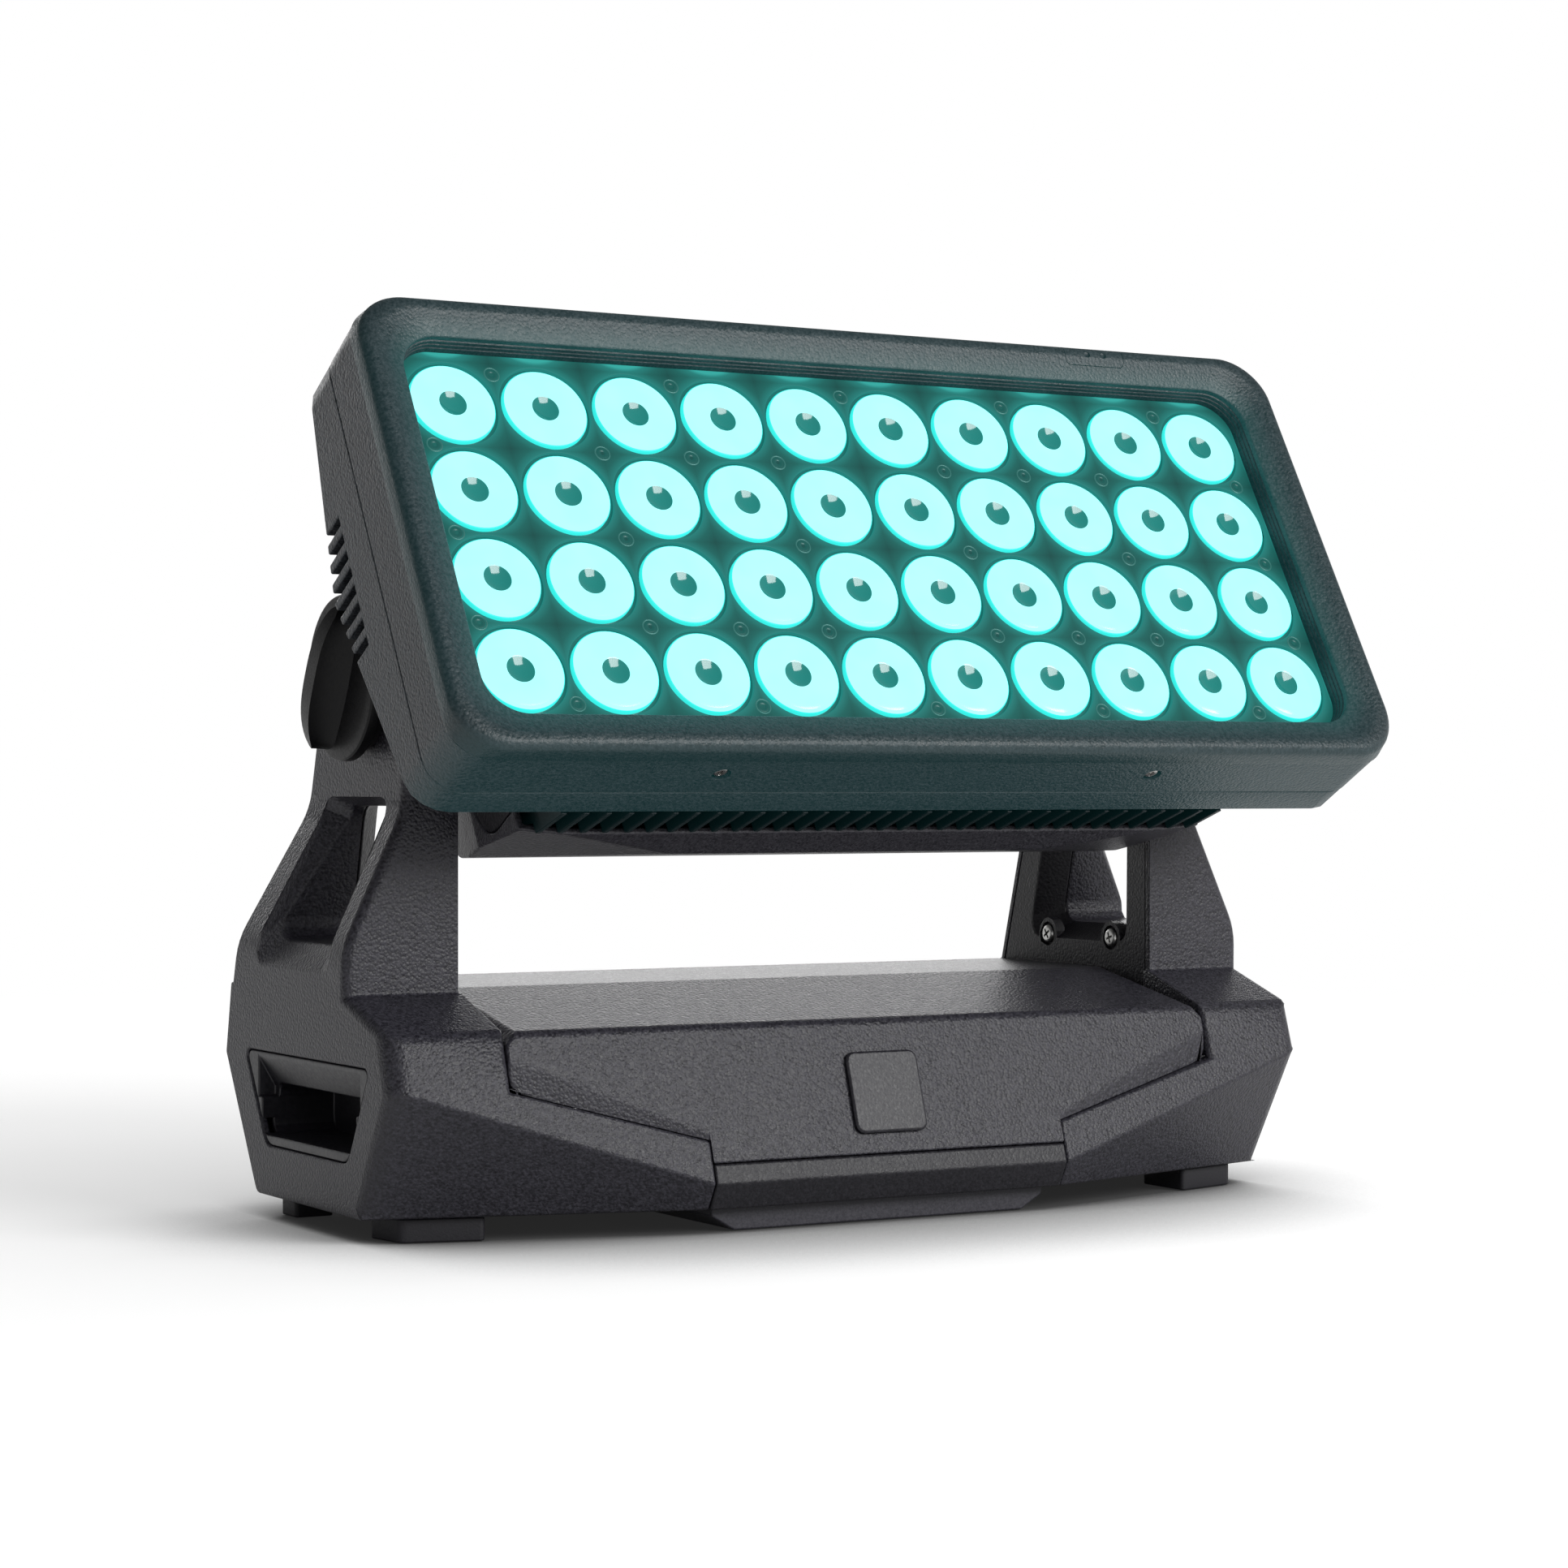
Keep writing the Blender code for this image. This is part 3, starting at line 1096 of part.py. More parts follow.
def arm_plates():
    """Load-carrying inner plates of the arms, flanged round the window, standing on the tray."""
    low = ARM_INNER_X
    high = low + ARM_PLATE
    seam = low + PLATE_FLANGE
    foot = FLOOR_Z + TRAY_FLOOR + GAP
    inset = COVER_WALL + GAP
    upper = arm_outline(inset, TOWER_TOP_Z)
    rear = upper[-1][0]
    outline = [(-arm_radius(inset), foot)] + upper[1:]
    outline += [(rear - PLATE_SHOULDER, TOWER_TOP_Z - PLATE_SHOULDER_DROP), (rear - PLATE_FOOT_BACK, foot)]
    plate = prism("arm_plate_right", outline, "X", low, high, GRAINED)
    join(plate, prism("window_flange", plate_window(PLATE_FLANGE_WALL), "X", low + MM, seam))
    inner = plate_window()
    throat = window_throat()
    rings = [[(low - MM, y, z) for y, z in inner], [(low, y, z) for y, z in inner],
             [(seam, y, z) for y, z in throat], [(seam + MM, y, z) for y, z in throat]]
    cut(plate, lofted("plate_window", rings))
    for y in SCREW_Y:
        join(plate, rod("screw_boss", SCREW_BOSS, low, high, y, SCREW_Z, 12))
    for y in SCREW_Y:
        cut(plate, rod("counterbore", SCREW_HEAD_RADIUS + COUNTERBORE_GAP, low - MM, low + COUNTERBORE_DEPTH,
                       y, SCREW_Z, 12))
        cut(plate, rod("screw_hole", SCREW_SHANK_RADIUS + GAP, low - MM, seam + MM, y, SCREW_Z, 8))
    cut(plate, rod("plate_bore", STUD_BORE, low - MM, high + MM, 0, PIVOT_Z))
    bpy.context.view_layer.update()
    mirrored(plate, "arm_plate_left")


def arm_screws():
    """Cross-headed screws that hold each plate to its cover."""
    head_low = ARM_INNER_X + COUNTERBORE_DEPTH - SCREW_HEAD - GAP
    for number, y in enumerate(SCREW_Y, start=1):
        name = f"arm_screw_right_{number}"
        head_high = head_low + SCREW_HEAD
        screw = rod(name, SCREW_HEAD_RADIUS, head_low, head_high, y, SCREW_Z, 12, STEEL)
        join(screw, rod("shank", SCREW_SHANK_RADIUS, head_low + MM, head_low + SCREW_LENGTH, y, SCREW_Z, 8))
        for wide, tall in ((CROSS_HALF_LENGTH, CROSS_HALF_WIDTH), (CROSS_HALF_WIDTH, CROSS_HALF_LENGTH)):
            cut(screw, block("cross_slot", (head_low - MM, y - wide, SCREW_Z - tall),
                             (head_low + CROSS_DEPTH, y + wide, SCREW_Z + tall)))
        bpy.context.view_layer.update()
        mirrored(screw, f"arm_screw_left_{number}")


def handle_outline(inset=0.0):
    """Side view of the handle frame, narrower at its foot."""
    return rounded([(HANDLE_TOP_Y[0] + inset * 1.6, HANDLE_TOP_Z - inset, HANDLE_TOP_CORNER),
                    (HANDLE_BOTTOM_Y[0] + inset, HANDLE_BOTTOM_Z + inset, HANDLE_CORNER),
                    (HANDLE_BOTTOM_Y[1] - inset, HANDLE_BOTTOM_Z + inset, HANDLE_CORNER),
                    (HANDLE_TOP_Y[1] - inset * 1.6, HANDLE_TOP_Z - inset, HANDLE_TOP_CORNER)], 0, 22.5)


def handle_cups():
    """Finger pockets in the base's ends, with a sloping lip above each mouth."""
    outer = BASE_HALF_WIDTH - HANDLE_RECESS
    cup = prism("handle_cup_right", handle_outline(GAP), "X", outer - HANDLE_FLANGE, outer, SMOOTH)
    corner = HANDLE_MOUTH_CORNER

    def mouth(grow):
        return rounded(rectangle(HANDLE_MOUTH_Y[0] - grow, HANDLE_MOUTH_Y[1] + grow,
                                 HANDLE_MOUTH_BOTTOM_Z - grow, HANDLE_LIP_Z + grow), corner + grow, 30)

    join(cup, prism("handle_well", mouth(HANDLE_WALL), "X", outer - HANDLE_DEPTH - HANDLE_WALL,
                    outer - HANDLE_FLANGE / 2))
    cut(cup, prism("handle_pocket", mouth(0), "X", outer - HANDLE_DEPTH, outer + MM))
    lip_low = (outer - HANDLE_LIP_DEPTH, HANDLE_LIP_Z)
    slope = facet((lip_low[0], 0, lip_low[1]), (lip_low[0], BASE_REACH, lip_low[1]),
                  (outer, 0, HANDLE_TOP_Z - HANDLE_LIP_EDGE), inside=(outer + BASE_REACH, 0, 0))
    cut(cup, block("handle_lip", (outer - HANDLE_LIP_DEPTH - MM, HANDLE_MOUTH_Y[0] - HANDLE_LIP_SIDE,
                                  HANDLE_LIP_Z - corner),
                   (outer + MM, HANDLE_MOUTH_Y[1] + HANDLE_LIP_SIDE, HANDLE_TOP_Z + MM), None, None, [slope]))
    bpy.context.view_layer.update()
    mirrored(cup, "handle_cup_left")


def seam_outline(inset=0.0, drop=0.0):
    """Front view of the centre cover: diagonal seams down to a tongue that stands on the tray's lip."""
    edge = SEAM_X - GAP / 2 - inset
    tongue = TOE_HALF_WIDTH - GAP / 2 - inset
    sill = SEAM_SILL_Z + GAP / 2 - drop
    high = SEAM_HIGH_Z + GAP / 2 - drop
    low = SEAM_LOW_Z + GAP / 2 - drop
    top = TOP_Z + PAST
    return rounded([(-tongue, sill, 0), (tongue, sill, 0), (tongue, low, 0), (edge, high, SEAM_CORNER),
                    (edge, top, 0), (-edge, top, 0), (-edge, high, SEAM_CORNER), (-tongue, low, 0)], 0, 30)


def cover_top_ends():
    """Bevels at the two upper ends of the centre cover."""
    facets = []
    for side in (-1, 1):
        inner = side * (SEAM_X - COVER_END_BEVEL)
        foot = (side * SEAM_X, RIDGE_FRONT[0], RIDGE_FRONT[1] - COVER_END_BEVEL)
        facets.append(facet((inner, *RIDGE_FRONT), (inner, TOP_SLOPE_Y, TOP_Z), foot))
    return facets


def seam_chamfer(side, faces):
    """Cutter for the chamfer along one diagonal seam, at the front or the rear."""
    face = front_y if faces < 0 else rear_y
    high_z = SEAM_HIGH_Z + CHAMFER_HIGH
    low_z = SEAM_LOW_Z + CHAMFER_LOW
    high = (side * (SEAM_X - CHAMFER_INSET), face(high_z), high_z)
    low = (side * TOE_HALF_WIDTH, face(low_z), low_z)
    deep = (side * SEAM_X, face(SEAM_HIGH_Z) - faces * CHAMFER_DEPTH, SEAM_HIGH_Z)
    outside = (side * SEAM_X, faces * 0.5, 0)
    near = sorted((side * TOE_HALF_WIDTH, side * (SEAM_X + PAST)))
    depth = sorted((faces * 0.06, faces * 0.12))
    return block("seam_chamfer", (near[0], depth[0], SEAM_SILL_Z), (near[1], depth[1], TOP_Z), None, None,
                 [facet(high, low, deep, outside)])


def centre_cover(frame):
    """Cover over the middle of the base, with chamfered diagonal ends."""
    cover = block("centre_cover", (-SEAM_X, -BASE_REACH, 0), (SEAM_X, BASE_REACH, TOP_Z), GRAINED, None,
                  base_facets(1, 0, False) + [cover_top()] + cover_top_ends())
    common(cover, prism("cover_seams", seam_outline(), "Y", -BASE_REACH, BASE_REACH))
    hollow = block("cover_hollow_main", (-SEAM_X, -BASE_REACH, 0), (SEAM_X, BASE_REACH, TOP_Z - BASE_WALL),
                   None, None, base_facets(1, BASE_WALL, False) + [cover_top(BASE_WALL)])
    common(hollow, prism("cover_hollow_seams", seam_outline(BASE_WALL, 8 * PAST), "Y", -BASE_REACH,
                         BASE_REACH))
    cut(cover, hollow)
    for side in (-1, 1):
        for faces in (-1, 1):
            cut(cover, seam_chamfer(side, faces))
    cut(cover, prism("panel_opening", panel_outline(GAP), "Y", -PANEL_OPENING_REACH,
                     PANEL_OPENING_REACH, None, frame))
    return cover


def front_y(z):
    """Depth of the base's front plane at a height."""
    slope = (TOE_FRONT[0] - RIDGE_FRONT[0]) / (TOE_FRONT[1] - RIDGE_FRONT[1])
    return RIDGE_FRONT[0] + (z - RIDGE_FRONT[1]) * slope


def rear_y(z):
    """Depth of the base's rear plane at a height."""
    slope = (TOE_REAR[0] - RIDGE_REAR[0]) / (TOE_REAR[1] - RIDGE_REAR[1])
    return RIDGE_REAR[0] + (z - RIDGE_REAR[1]) * slope


def base_tray():
    """Bottom tray: full floor plate with a raised lip along the middle of the front and rear."""
    tongue = TOE_HALF_WIDTH - GAP / 2
    top = SEAM_SILL_Z - GAP / 2
    tray = block("base_tray", (-tongue, -BASE_REACH, FLOOR_Z), (tongue, BASE_REACH, top), GRAINED, None,
                 base_facets(1, 0, False) + toe_facets())
    cut(tray, block("tray_hollow", (-SEAM_X, -BASE_REACH, FLOOR_Z + TRAY_FLOOR),
                    (SEAM_X, BASE_REACH, top + MM), None, None,
                    base_facets(1, BASE_WALL, False) + toe_facets(BASE_WALL)))
    clear = COVER_WALL + 2 * GAP
    floor = block("tray_floor", (clear - BASE_HALF_WIDTH, -BASE_REACH, FLOOR_Z),
                  (BASE_HALF_WIDTH - clear, BASE_REACH, FLOOR_Z + TRAY_FLOOR), None, None,
                  base_facets(1, clear + TRAY_FLOOR) + base_facets(-1, clear + TRAY_FLOOR) + toe_facets())
    join(tray, floor)
    return tray


def badge_plate():
    """Bare raised plate with chamfered edges in the middle of the front."""
    half = BADGE_SIZE / 2
    corners = rounded(rectangle(-half, half, -half, half), BADGE_CORNER, 30)
    badge = prism("badge_plate", corners, "Y", -BADGE_THICKNESS, 0, SMOOTH)
    rim = badge.modifiers.new("chamfer", "BEVEL")
    rim.width = BADGE_CHAMFER
    rim.segments = 1
    rim.limit_method = "ANGLE"
    rim.angle_limit = math.radians(50)
    height = RIDGE_FRONT[1] - BADGE_DROP
    lean = math.atan2(RIDGE_FRONT[0] - TOE_FRONT[0], RIDGE_FRONT[1] - TOE_FRONT[1])
    badge.rotation_euler = (-lean, 0, 0)
    badge.location = (0, front_y(height) - GAP, height)
    return badge


def feet():
    """Rubber feet under the four corners."""
    low, high = FOOT_X
    front, back = FOOT_FRONT_Y
    top = FLOOR_Z - GAP
    toe = (high - FOOT_TOE_CORNER, front + FOOT_SLANT, FOOT_TOE_CORNER)
    outline = rounded([(low, front, FOOT_CORNER), toe, (high, back, FOOT_CORNER), (low, back, FOOT_CORNER)],
                      0, 30)
    rear = rounded(rectangle(*FOOT_REAR_X, *FOOT_REAR_Y), FOOT_CORNER, 30)
    for name, shape in (("front", outline), ("rear", rear)):
        foot = prism(f"foot_{name}_right", shape, "Z", 0, top, RUBBER)
        mirrored(foot, f"foot_{name}_left")


def centre_skid():
    """Shallow bracket under the middle of the tray, with sloping ends."""
    top = FLOOR_Z - GAP
    wide = SKID_HALF_WIDTH
    outline = [(-wide, top), (-wide, top - SKID_EDGE), (SKID_SLOPE - wide, 0),
               (wide - SKID_SLOPE, 0), (wide, top - SKID_EDGE), (wide, top)]
    skid = prism("centre_skid", outline, "Y", SKID_FRONT_Y, SKID_BACK_Y, SMOOTH)
    inner = wide - SKID_SLOPE - SKID_WALL
    cut(skid, block("skid_hollow", (-inner, SKID_FRONT_Y + SKID_WALL, SKID_WALL),
                    (inner, SKID_BACK_Y - SKID_WALL, top + MM)))
    return skid


def panel_outline(grow=0.0):
    """Outline of the rear panel in its own frame."""
    wide = PANEL_HALF_WIDTH + grow
    tall = (PANEL_TOP_Z - PANEL_BOTTOM_Z) / 2 / math.cos(PANEL_LEAN) + grow
    return rounded(rectangle(-wide, wide, -tall, tall), PANEL_CORNER + grow, 30)


def panel_frame():
    """Empty on the rear plane; its -Y axis points out of the panel."""
    frame = bpy.data.objects.new("panel_axis", None)
    PARTS.objects.link(frame)
    frame.location = (0, rear_y(PANEL_MIDDLE_Z), PANEL_MIDDLE_Z)
    frame.rotation_euler = (-PANEL_LEAN, 0, math.pi)
    return frame


def rear_panel(frame):
    """Sheet panel with the display, keys, power and data sockets."""
    low = PANEL_RECESS - PANEL_THICKNESS
    panel = prism("rear_panel", panel_outline(), "Y", low, PANEL_RECESS, PANEL, frame)
    for x in POWER_X + DATA_X:
        hole = turned("socket_hole", [(0, PAST), (SOCKET_RADIUS + GAP, PAST),
                                      (SOCKET_RADIUS + GAP, -PAST), (0, -PAST)], 12, None, frame)
        hole.rotation_euler = (math.radians(90), 0, 0)
        hole.location = (x, PANEL_RECESS, SOCKET_Z)
        cut(panel, hole)
    for x in button_places():
        hole = turned("key_hole", [(0, PAST), (BUTTON_RADIUS + GAP, PAST),
                                   (BUTTON_RADIUS + GAP, -PAST), (0, -PAST)], 10, None, frame)
        hole.rotation_euler = (math.radians(90), 0, 0)
        hole.location = (x, PANEL_RECESS, BUTTON_Z)
        cut(panel, hole)
    return panel


def button_places():
    return spread(BUTTON_COUNT, BUTTON_PITCH)


def panel_fittings(frame):
    """Display window, keys and sockets on the rear panel."""
    face = PANEL_RECESS - PANEL_THICKNESS
    half_width = DISPLAY_WIDTH / 2
    half_height = DISPLAY_HEIGHT / 2
    outline = rounded(rectangle(-half_width, half_width, DISPLAY_Z - half_height,
                                DISPLAY_Z + half_height), DISPLAY_CORNER, 30)
    prism("display_window", outline, "Y", face - GAP - DISPLAY_THICKNESS, face - GAP, WINDOW, frame)
    foot = PANEL_THICKNESS + BUTTON_ROOT
    for number, x in enumerate(button_places(), start=1):
        profile = [(0, BUTTON_HEIGHT), (BUTTON_RADIUS - BUTTON_EDGE, BUTTON_HEIGHT),
                   (BUTTON_RADIUS, BUTTON_HEIGHT - BUTTON_EDGE), (BUTTON_RADIUS, -foot), (0, -foot)]
        button = turned(f"menu_button_{number}", profile, 10, BLACK, frame)
        button.rotation_euler = (math.radians(90), 0, 0)
        button.location = (x, face, BUTTON_Z)
        smooth_round(button)
    power = (("power_inlet", "power_outlet"), POWER_X)
    data = (("data_inlet", "data_outlet"), DATA_X)
    for names, places in (power, data):
        for name, x in zip(names, places):
            flange = SOCKET_RADIUS + SOCKET_FLANGE
            profile = [(0, SOCKET_RIM / 2), (SOCKET_CORE, SOCKET_RIM / 2), (SOCKET_CORE, -SOCKET_GROOVE),
                       (SOCKET_BORE, -SOCKET_GROOVE), (SOCKET_BORE, SOCKET_RIM), (flange, SOCKET_RIM),
                       (flange, GAP), (SOCKET_RADIUS, GAP), (SOCKET_RADIUS, -SOCKET_DEPTH),
                       (0, -SOCKET_DEPTH)]
            socket = turned(name, profile, 12, BLACK, frame)
            socket.rotation_euler = (math.radians(90), 0, 0)
            socket.location = (x, face, SOCKET_Z)
            smooth_round(socket)


def base_electronics():
    """Power supply and control board on the tray."""
    floor = FLOOR_Z + TRAY_FLOOR + GAP
    block("power_supply", (SUPPLY_X[0], SUPPLY_Y[0], floor),
          (SUPPLY_X[1], SUPPLY_Y[1], floor + SUPPLY_HEIGHT), PANEL)
    under = floor + STANDOFF_HEIGHT
    board = block("control_board", (BOARD_X[0], BOARD_Y[0], under),
                  (BOARD_X[1], BOARD_Y[1], under + BOARD_THICKNESS), CIRCUIT)
    for x in (BOARD_X[0] + STANDOFF_INSET_X, BOARD_X[1] - STANDOFF_INSET_X):
        for y in (BOARD_Y[0] + STANDOFF_INSET_Y, BOARD_Y[1] - STANDOFF_INSET_Y):
            join(board, block("standoff", (x - STANDOFF_HALF, y - STANDOFF_HALF, floor),
                              (x + STANDOFF_HALF, y + STANDOFF_HALF, under + BOARD_THICKNESS / 2)))


front_bezel()
sensor_cover()
mid_housing()
mask_plate()
lens_rows()
led_board()
rear_shell()
heat_sink()
head_side_plates()
rear_cover()
tilt_studs()
friction_washers()
lock_knob("lock_knob_right", 1)
lock_knob("lock_knob_left", -1)
right_cover = side_cover("side_cover_right")
bpy.context.view_layer.update()
mirrored(right_cover, "side_cover_left")
arm_plates()
arm_screws()
handle_cups()
PANEL_FRAME = panel_frame()
centre_cover(PANEL_FRAME)
base_tray()
badge_plate()
feet()
centre_skid()
rear_panel(PANEL_FRAME)
panel_fittings(PANEL_FRAME)
base_electronics()
bpy.context.view_layer.update()
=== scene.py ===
"""LED wash light: the looks, piece by piece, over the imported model. Metres, +Z up, the front faces -Y."""

import math

import bmesh
import bpy
from mathutils import Matrix, Vector


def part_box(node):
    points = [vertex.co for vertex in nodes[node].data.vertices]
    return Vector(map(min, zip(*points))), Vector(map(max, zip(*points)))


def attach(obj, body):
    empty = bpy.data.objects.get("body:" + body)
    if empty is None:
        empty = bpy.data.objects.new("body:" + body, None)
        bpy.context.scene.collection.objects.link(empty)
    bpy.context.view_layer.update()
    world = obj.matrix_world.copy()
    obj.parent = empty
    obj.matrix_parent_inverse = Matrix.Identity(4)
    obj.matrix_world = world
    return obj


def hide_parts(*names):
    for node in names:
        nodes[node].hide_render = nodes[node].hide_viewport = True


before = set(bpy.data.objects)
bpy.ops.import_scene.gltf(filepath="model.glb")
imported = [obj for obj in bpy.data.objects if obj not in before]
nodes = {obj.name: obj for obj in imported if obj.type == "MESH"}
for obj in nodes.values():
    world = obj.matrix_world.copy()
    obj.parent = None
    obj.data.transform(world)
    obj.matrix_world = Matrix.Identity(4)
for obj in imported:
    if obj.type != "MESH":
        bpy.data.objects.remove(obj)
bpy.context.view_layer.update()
MM = 0.001


# Studio. A white floor under a dome that is brightest to the front right and dim to the left and
# behind. The camera and reflections see a white backdrop instead. One large softbox in front lights
# the base, and one behind shines under the head, so the flat top gets its sheen.
def linear(code):
    """sRGB hex to a linear colour."""
    parts = [int(code[i:i + 2], 16) / 255 for i in (1, 3, 5)]
    return [c / 12.92 if c <= 0.04045 else ((c + 0.055) / 1.055) ** 2.4 for c in parts] + [1.0]


def add(tree, kind, inputs=(), **settings):
    """One node with its settings, and its inputs set or linked."""
    made = tree.nodes.new(kind)
    for key, value in settings.items():
        setattr(made, key, value)
    for key, value in dict(inputs).items():
        if isinstance(value, bpy.types.NodeSocket):
            tree.links.new(value, made.inputs[key])
        else:
            made.inputs[key].default_value = value
    return made


def ramp_stops(made, stops):
    """Colour ramp stops as (place, grey or colour)."""
    band = made.color_ramp
    while len(band.elements) < len(stops):
        band.elements.new(0.5)
    for element, (place, value) in zip(band.elements, stops):
        element.position = place
        element.color = value if isinstance(value, list) else [value, value, value, 1]


def settled_from(bm, name):
    """The bmesh as a mesh; the bmesh is freed."""
    mesh = bpy.data.meshes.new(name)
    bm.to_mesh(mesh)
    bm.free()
    return mesh


def linked(name, data, material=None):
    """An object in the scene, in one finish if one is given."""
    piece = bpy.data.objects.new(name, data)
    bpy.context.scene.collection.objects.link(piece)
    if material:
        data.materials.clear()
        data.materials.append(material)
    return piece


world = bpy.data.worlds.new("softbox_dome")
bpy.context.scene.world = world
world.use_nodes = True
sky = world.node_tree
sky.nodes.clear()
direction = add(sky, "ShaderNodeTexCoord")
height = add(sky, "ShaderNodeSeparateXYZ", {0: direction.outputs["Generated"]})
panels = add(sky, "ShaderNodeValToRGB", {0: height.outputs["Z"]})
ramp_stops(panels, [(0.0, 0.3), (0.2, 0.9), (0.5, 1.0), (0.75, 0.8), (1.0, 0.6)])
facing = add(sky, "ShaderNodeVectorMath", {0: direction.outputs["Generated"], 1: (0.5, -0.87, 0)},
             operation="DOT_PRODUCT")
in_front = add(sky, "ShaderNodeMapRange", {0: facing.outputs["Value"], 1: -0.3, 2: 1.0, 3: 0.4, 4: 1.8})
dome = add(sky, "ShaderNodeBackground", {0: panels.outputs[0], 1: in_front.outputs[0]})
white_wall = add(sky, "ShaderNodeValToRGB", {0: height.outputs["Z"]})
ramp_stops(white_wall, [(0.0, 1.0), (0.23, 1.0), (0.36, 0.35), (1.0, 0.15)])
left_flag = add(sky, "ShaderNodeMapRange", {0: height.outputs["X"], 1: -0.6, 2: 0.1, 3: 0.35, 4: 1.0})
seen = add(sky, "ShaderNodeLightPath")
wall_light = add(sky, "ShaderNodeMath", {0: left_flag.outputs[0], 1: seen.outputs["Is Camera Ray"]},
                 operation="MAXIMUM")
backdrop = add(sky, "ShaderNodeBackground", {0: white_wall.outputs[0], 1: wall_light.outputs[0]})


def seen_directly(tree):
    """One where the camera, a reflection or clear plastic sees the surface, zero where it only lights."""
    path = add(tree, "ShaderNodeLightPath")
    gloss = add(tree, "ShaderNodeMath", {0: path.outputs["Is Camera Ray"],
                                         1: path.outputs["Is Glossy Ray"]}, operation="MAXIMUM")
    clear = add(tree, "ShaderNodeMath", {0: gloss.outputs[0], 1: path.outputs["Is Transmission Ray"]},
                operation="MAXIMUM")
    return clear.outputs[0]


both = add(sky, "ShaderNodeMixShader", {0: seen_directly(sky), 1: dome.outputs[0], 2: backdrop.outputs[0]})
add(sky, "ShaderNodeOutputWorld", {0: both.outputs[0]})

floor_paint = bpy.data.materials.new("white_studio_floor")
floor_paint.use_nodes = True
tree = floor_paint.node_tree
tree.nodes.clear()
place = add(tree, "ShaderNodeTexCoord")
spread = add(tree, "ShaderNodeVectorMath", {0: place.outputs["Object"]}, operation="LENGTH")
far = add(tree, "ShaderNodeMapRange", {0: spread.outputs["Value"], 1: 0.45, 2: 1.7, 3: 0.0, 4: 1.0},
          interpolation_type="SMOOTHSTEP")
# Painted contact shadow: ambient occlusion darkens the floor's colour and its glow near the object.
ao_contact_shadow = add(tree, "ShaderNodeAmbientOcclusion", {"Distance": 0.24}, samples=16)
paint = add(tree, "ShaderNodeValToRGB", {0: ao_contact_shadow.outputs["AO"]})
ramp_stops(paint, [(0.25, 0.06), (0.55, 0.42), (0.82, 0.8)])
lit = add(tree, "ShaderNodeBsdfDiffuse", {0: paint.outputs[0]})
lift = add(tree, "ShaderNodeEmission", {0: paint.outputs[0], 1: 0.3})
near_floor = add(tree, "ShaderNodeAddShader", {0: lit.outputs[0], 1: lift.outputs[0]})
white = add(tree, "ShaderNodeEmission", {0: (1, 1, 1, 1), 1: 1.0})
shown = add(tree, "ShaderNodeMixShader", {0: far.outputs[0], 1: near_floor.outputs[0], 2: white.outputs[0]})
bounce = add(tree, "ShaderNodeBsdfDiffuse", {0: (0.32, 0.32, 0.32, 1)})
floor_mix = add(tree, "ShaderNodeMixShader", {0: seen_directly(tree), 1: bounce.outputs[0],
                                              2: shown.outputs[0]})
add(tree, "ShaderNodeOutputMaterial", {0: floor_mix.outputs[0]})
bm = bmesh.new()
bmesh.ops.create_grid(bm, x_segments=1, y_segments=1, size=14)
for vert in bm.verts:
    vert.co.z = -0.4 * MM
floor = linked("studio_floor", settled_from(bm, "studio_floor"), floor_paint)

camera = bpy.data.cameras.new("camera")
camera.lens = 80
camera.sensor_width = 36
camera.dof.use_dof = False
viewpoint = linked("camera", camera)
viewpoint.location = (-0.79254, -1.38027, 0.18902)
viewpoint.rotation_euler = (math.radians(90), 0, math.radians(-30))
bpy.context.scene.camera = viewpoint
bpy.context.scene.view_settings.view_transform = "Standard"

softboxes = (("front_softbox", 36, (1.3, 0.8), (0.75, -1.85, 1.0), 0.2),
             ("back_softbox", 16, (2.4, 0.6), (0.75, 2.0, 0.72), 0.1))
for name, watts, size, spot, aim in softboxes:
    area = bpy.data.lights.new(name, "AREA")
    area.shape = "RECTANGLE"
    area.size, area.size_y = size
    area.energy = watts
    softbox = linked(name, area)
    softbox.location = spot
    softbox.rotation_euler = (Vector((0, 0, aim)) - softbox.location).to_track_quat("-Z", "Y").to_euler()


# Base mouldings. Three injection-moulded ABS covers in charcoal close the base: one in the middle
# and one at each end that runs up over the arm. Their moulds are spark-eroded, so the surface has
# a pebbled grain of about 1.4 mm, and every outer edge is rounded.
def surface(name, colour, roughness, metallic=0.0):
    """A material with its Principled surface ready to link to."""
    material = bpy.data.materials.new(name)
    material.use_nodes = True
    shader = material.node_tree.nodes["Principled BSDF"]
    shader.inputs["Base Color"].default_value = linear(colour)
    shader.inputs["Roughness"].default_value = roughness
    shader.inputs["Metallic"].default_value = metallic
    return material, material.node_tree, shader


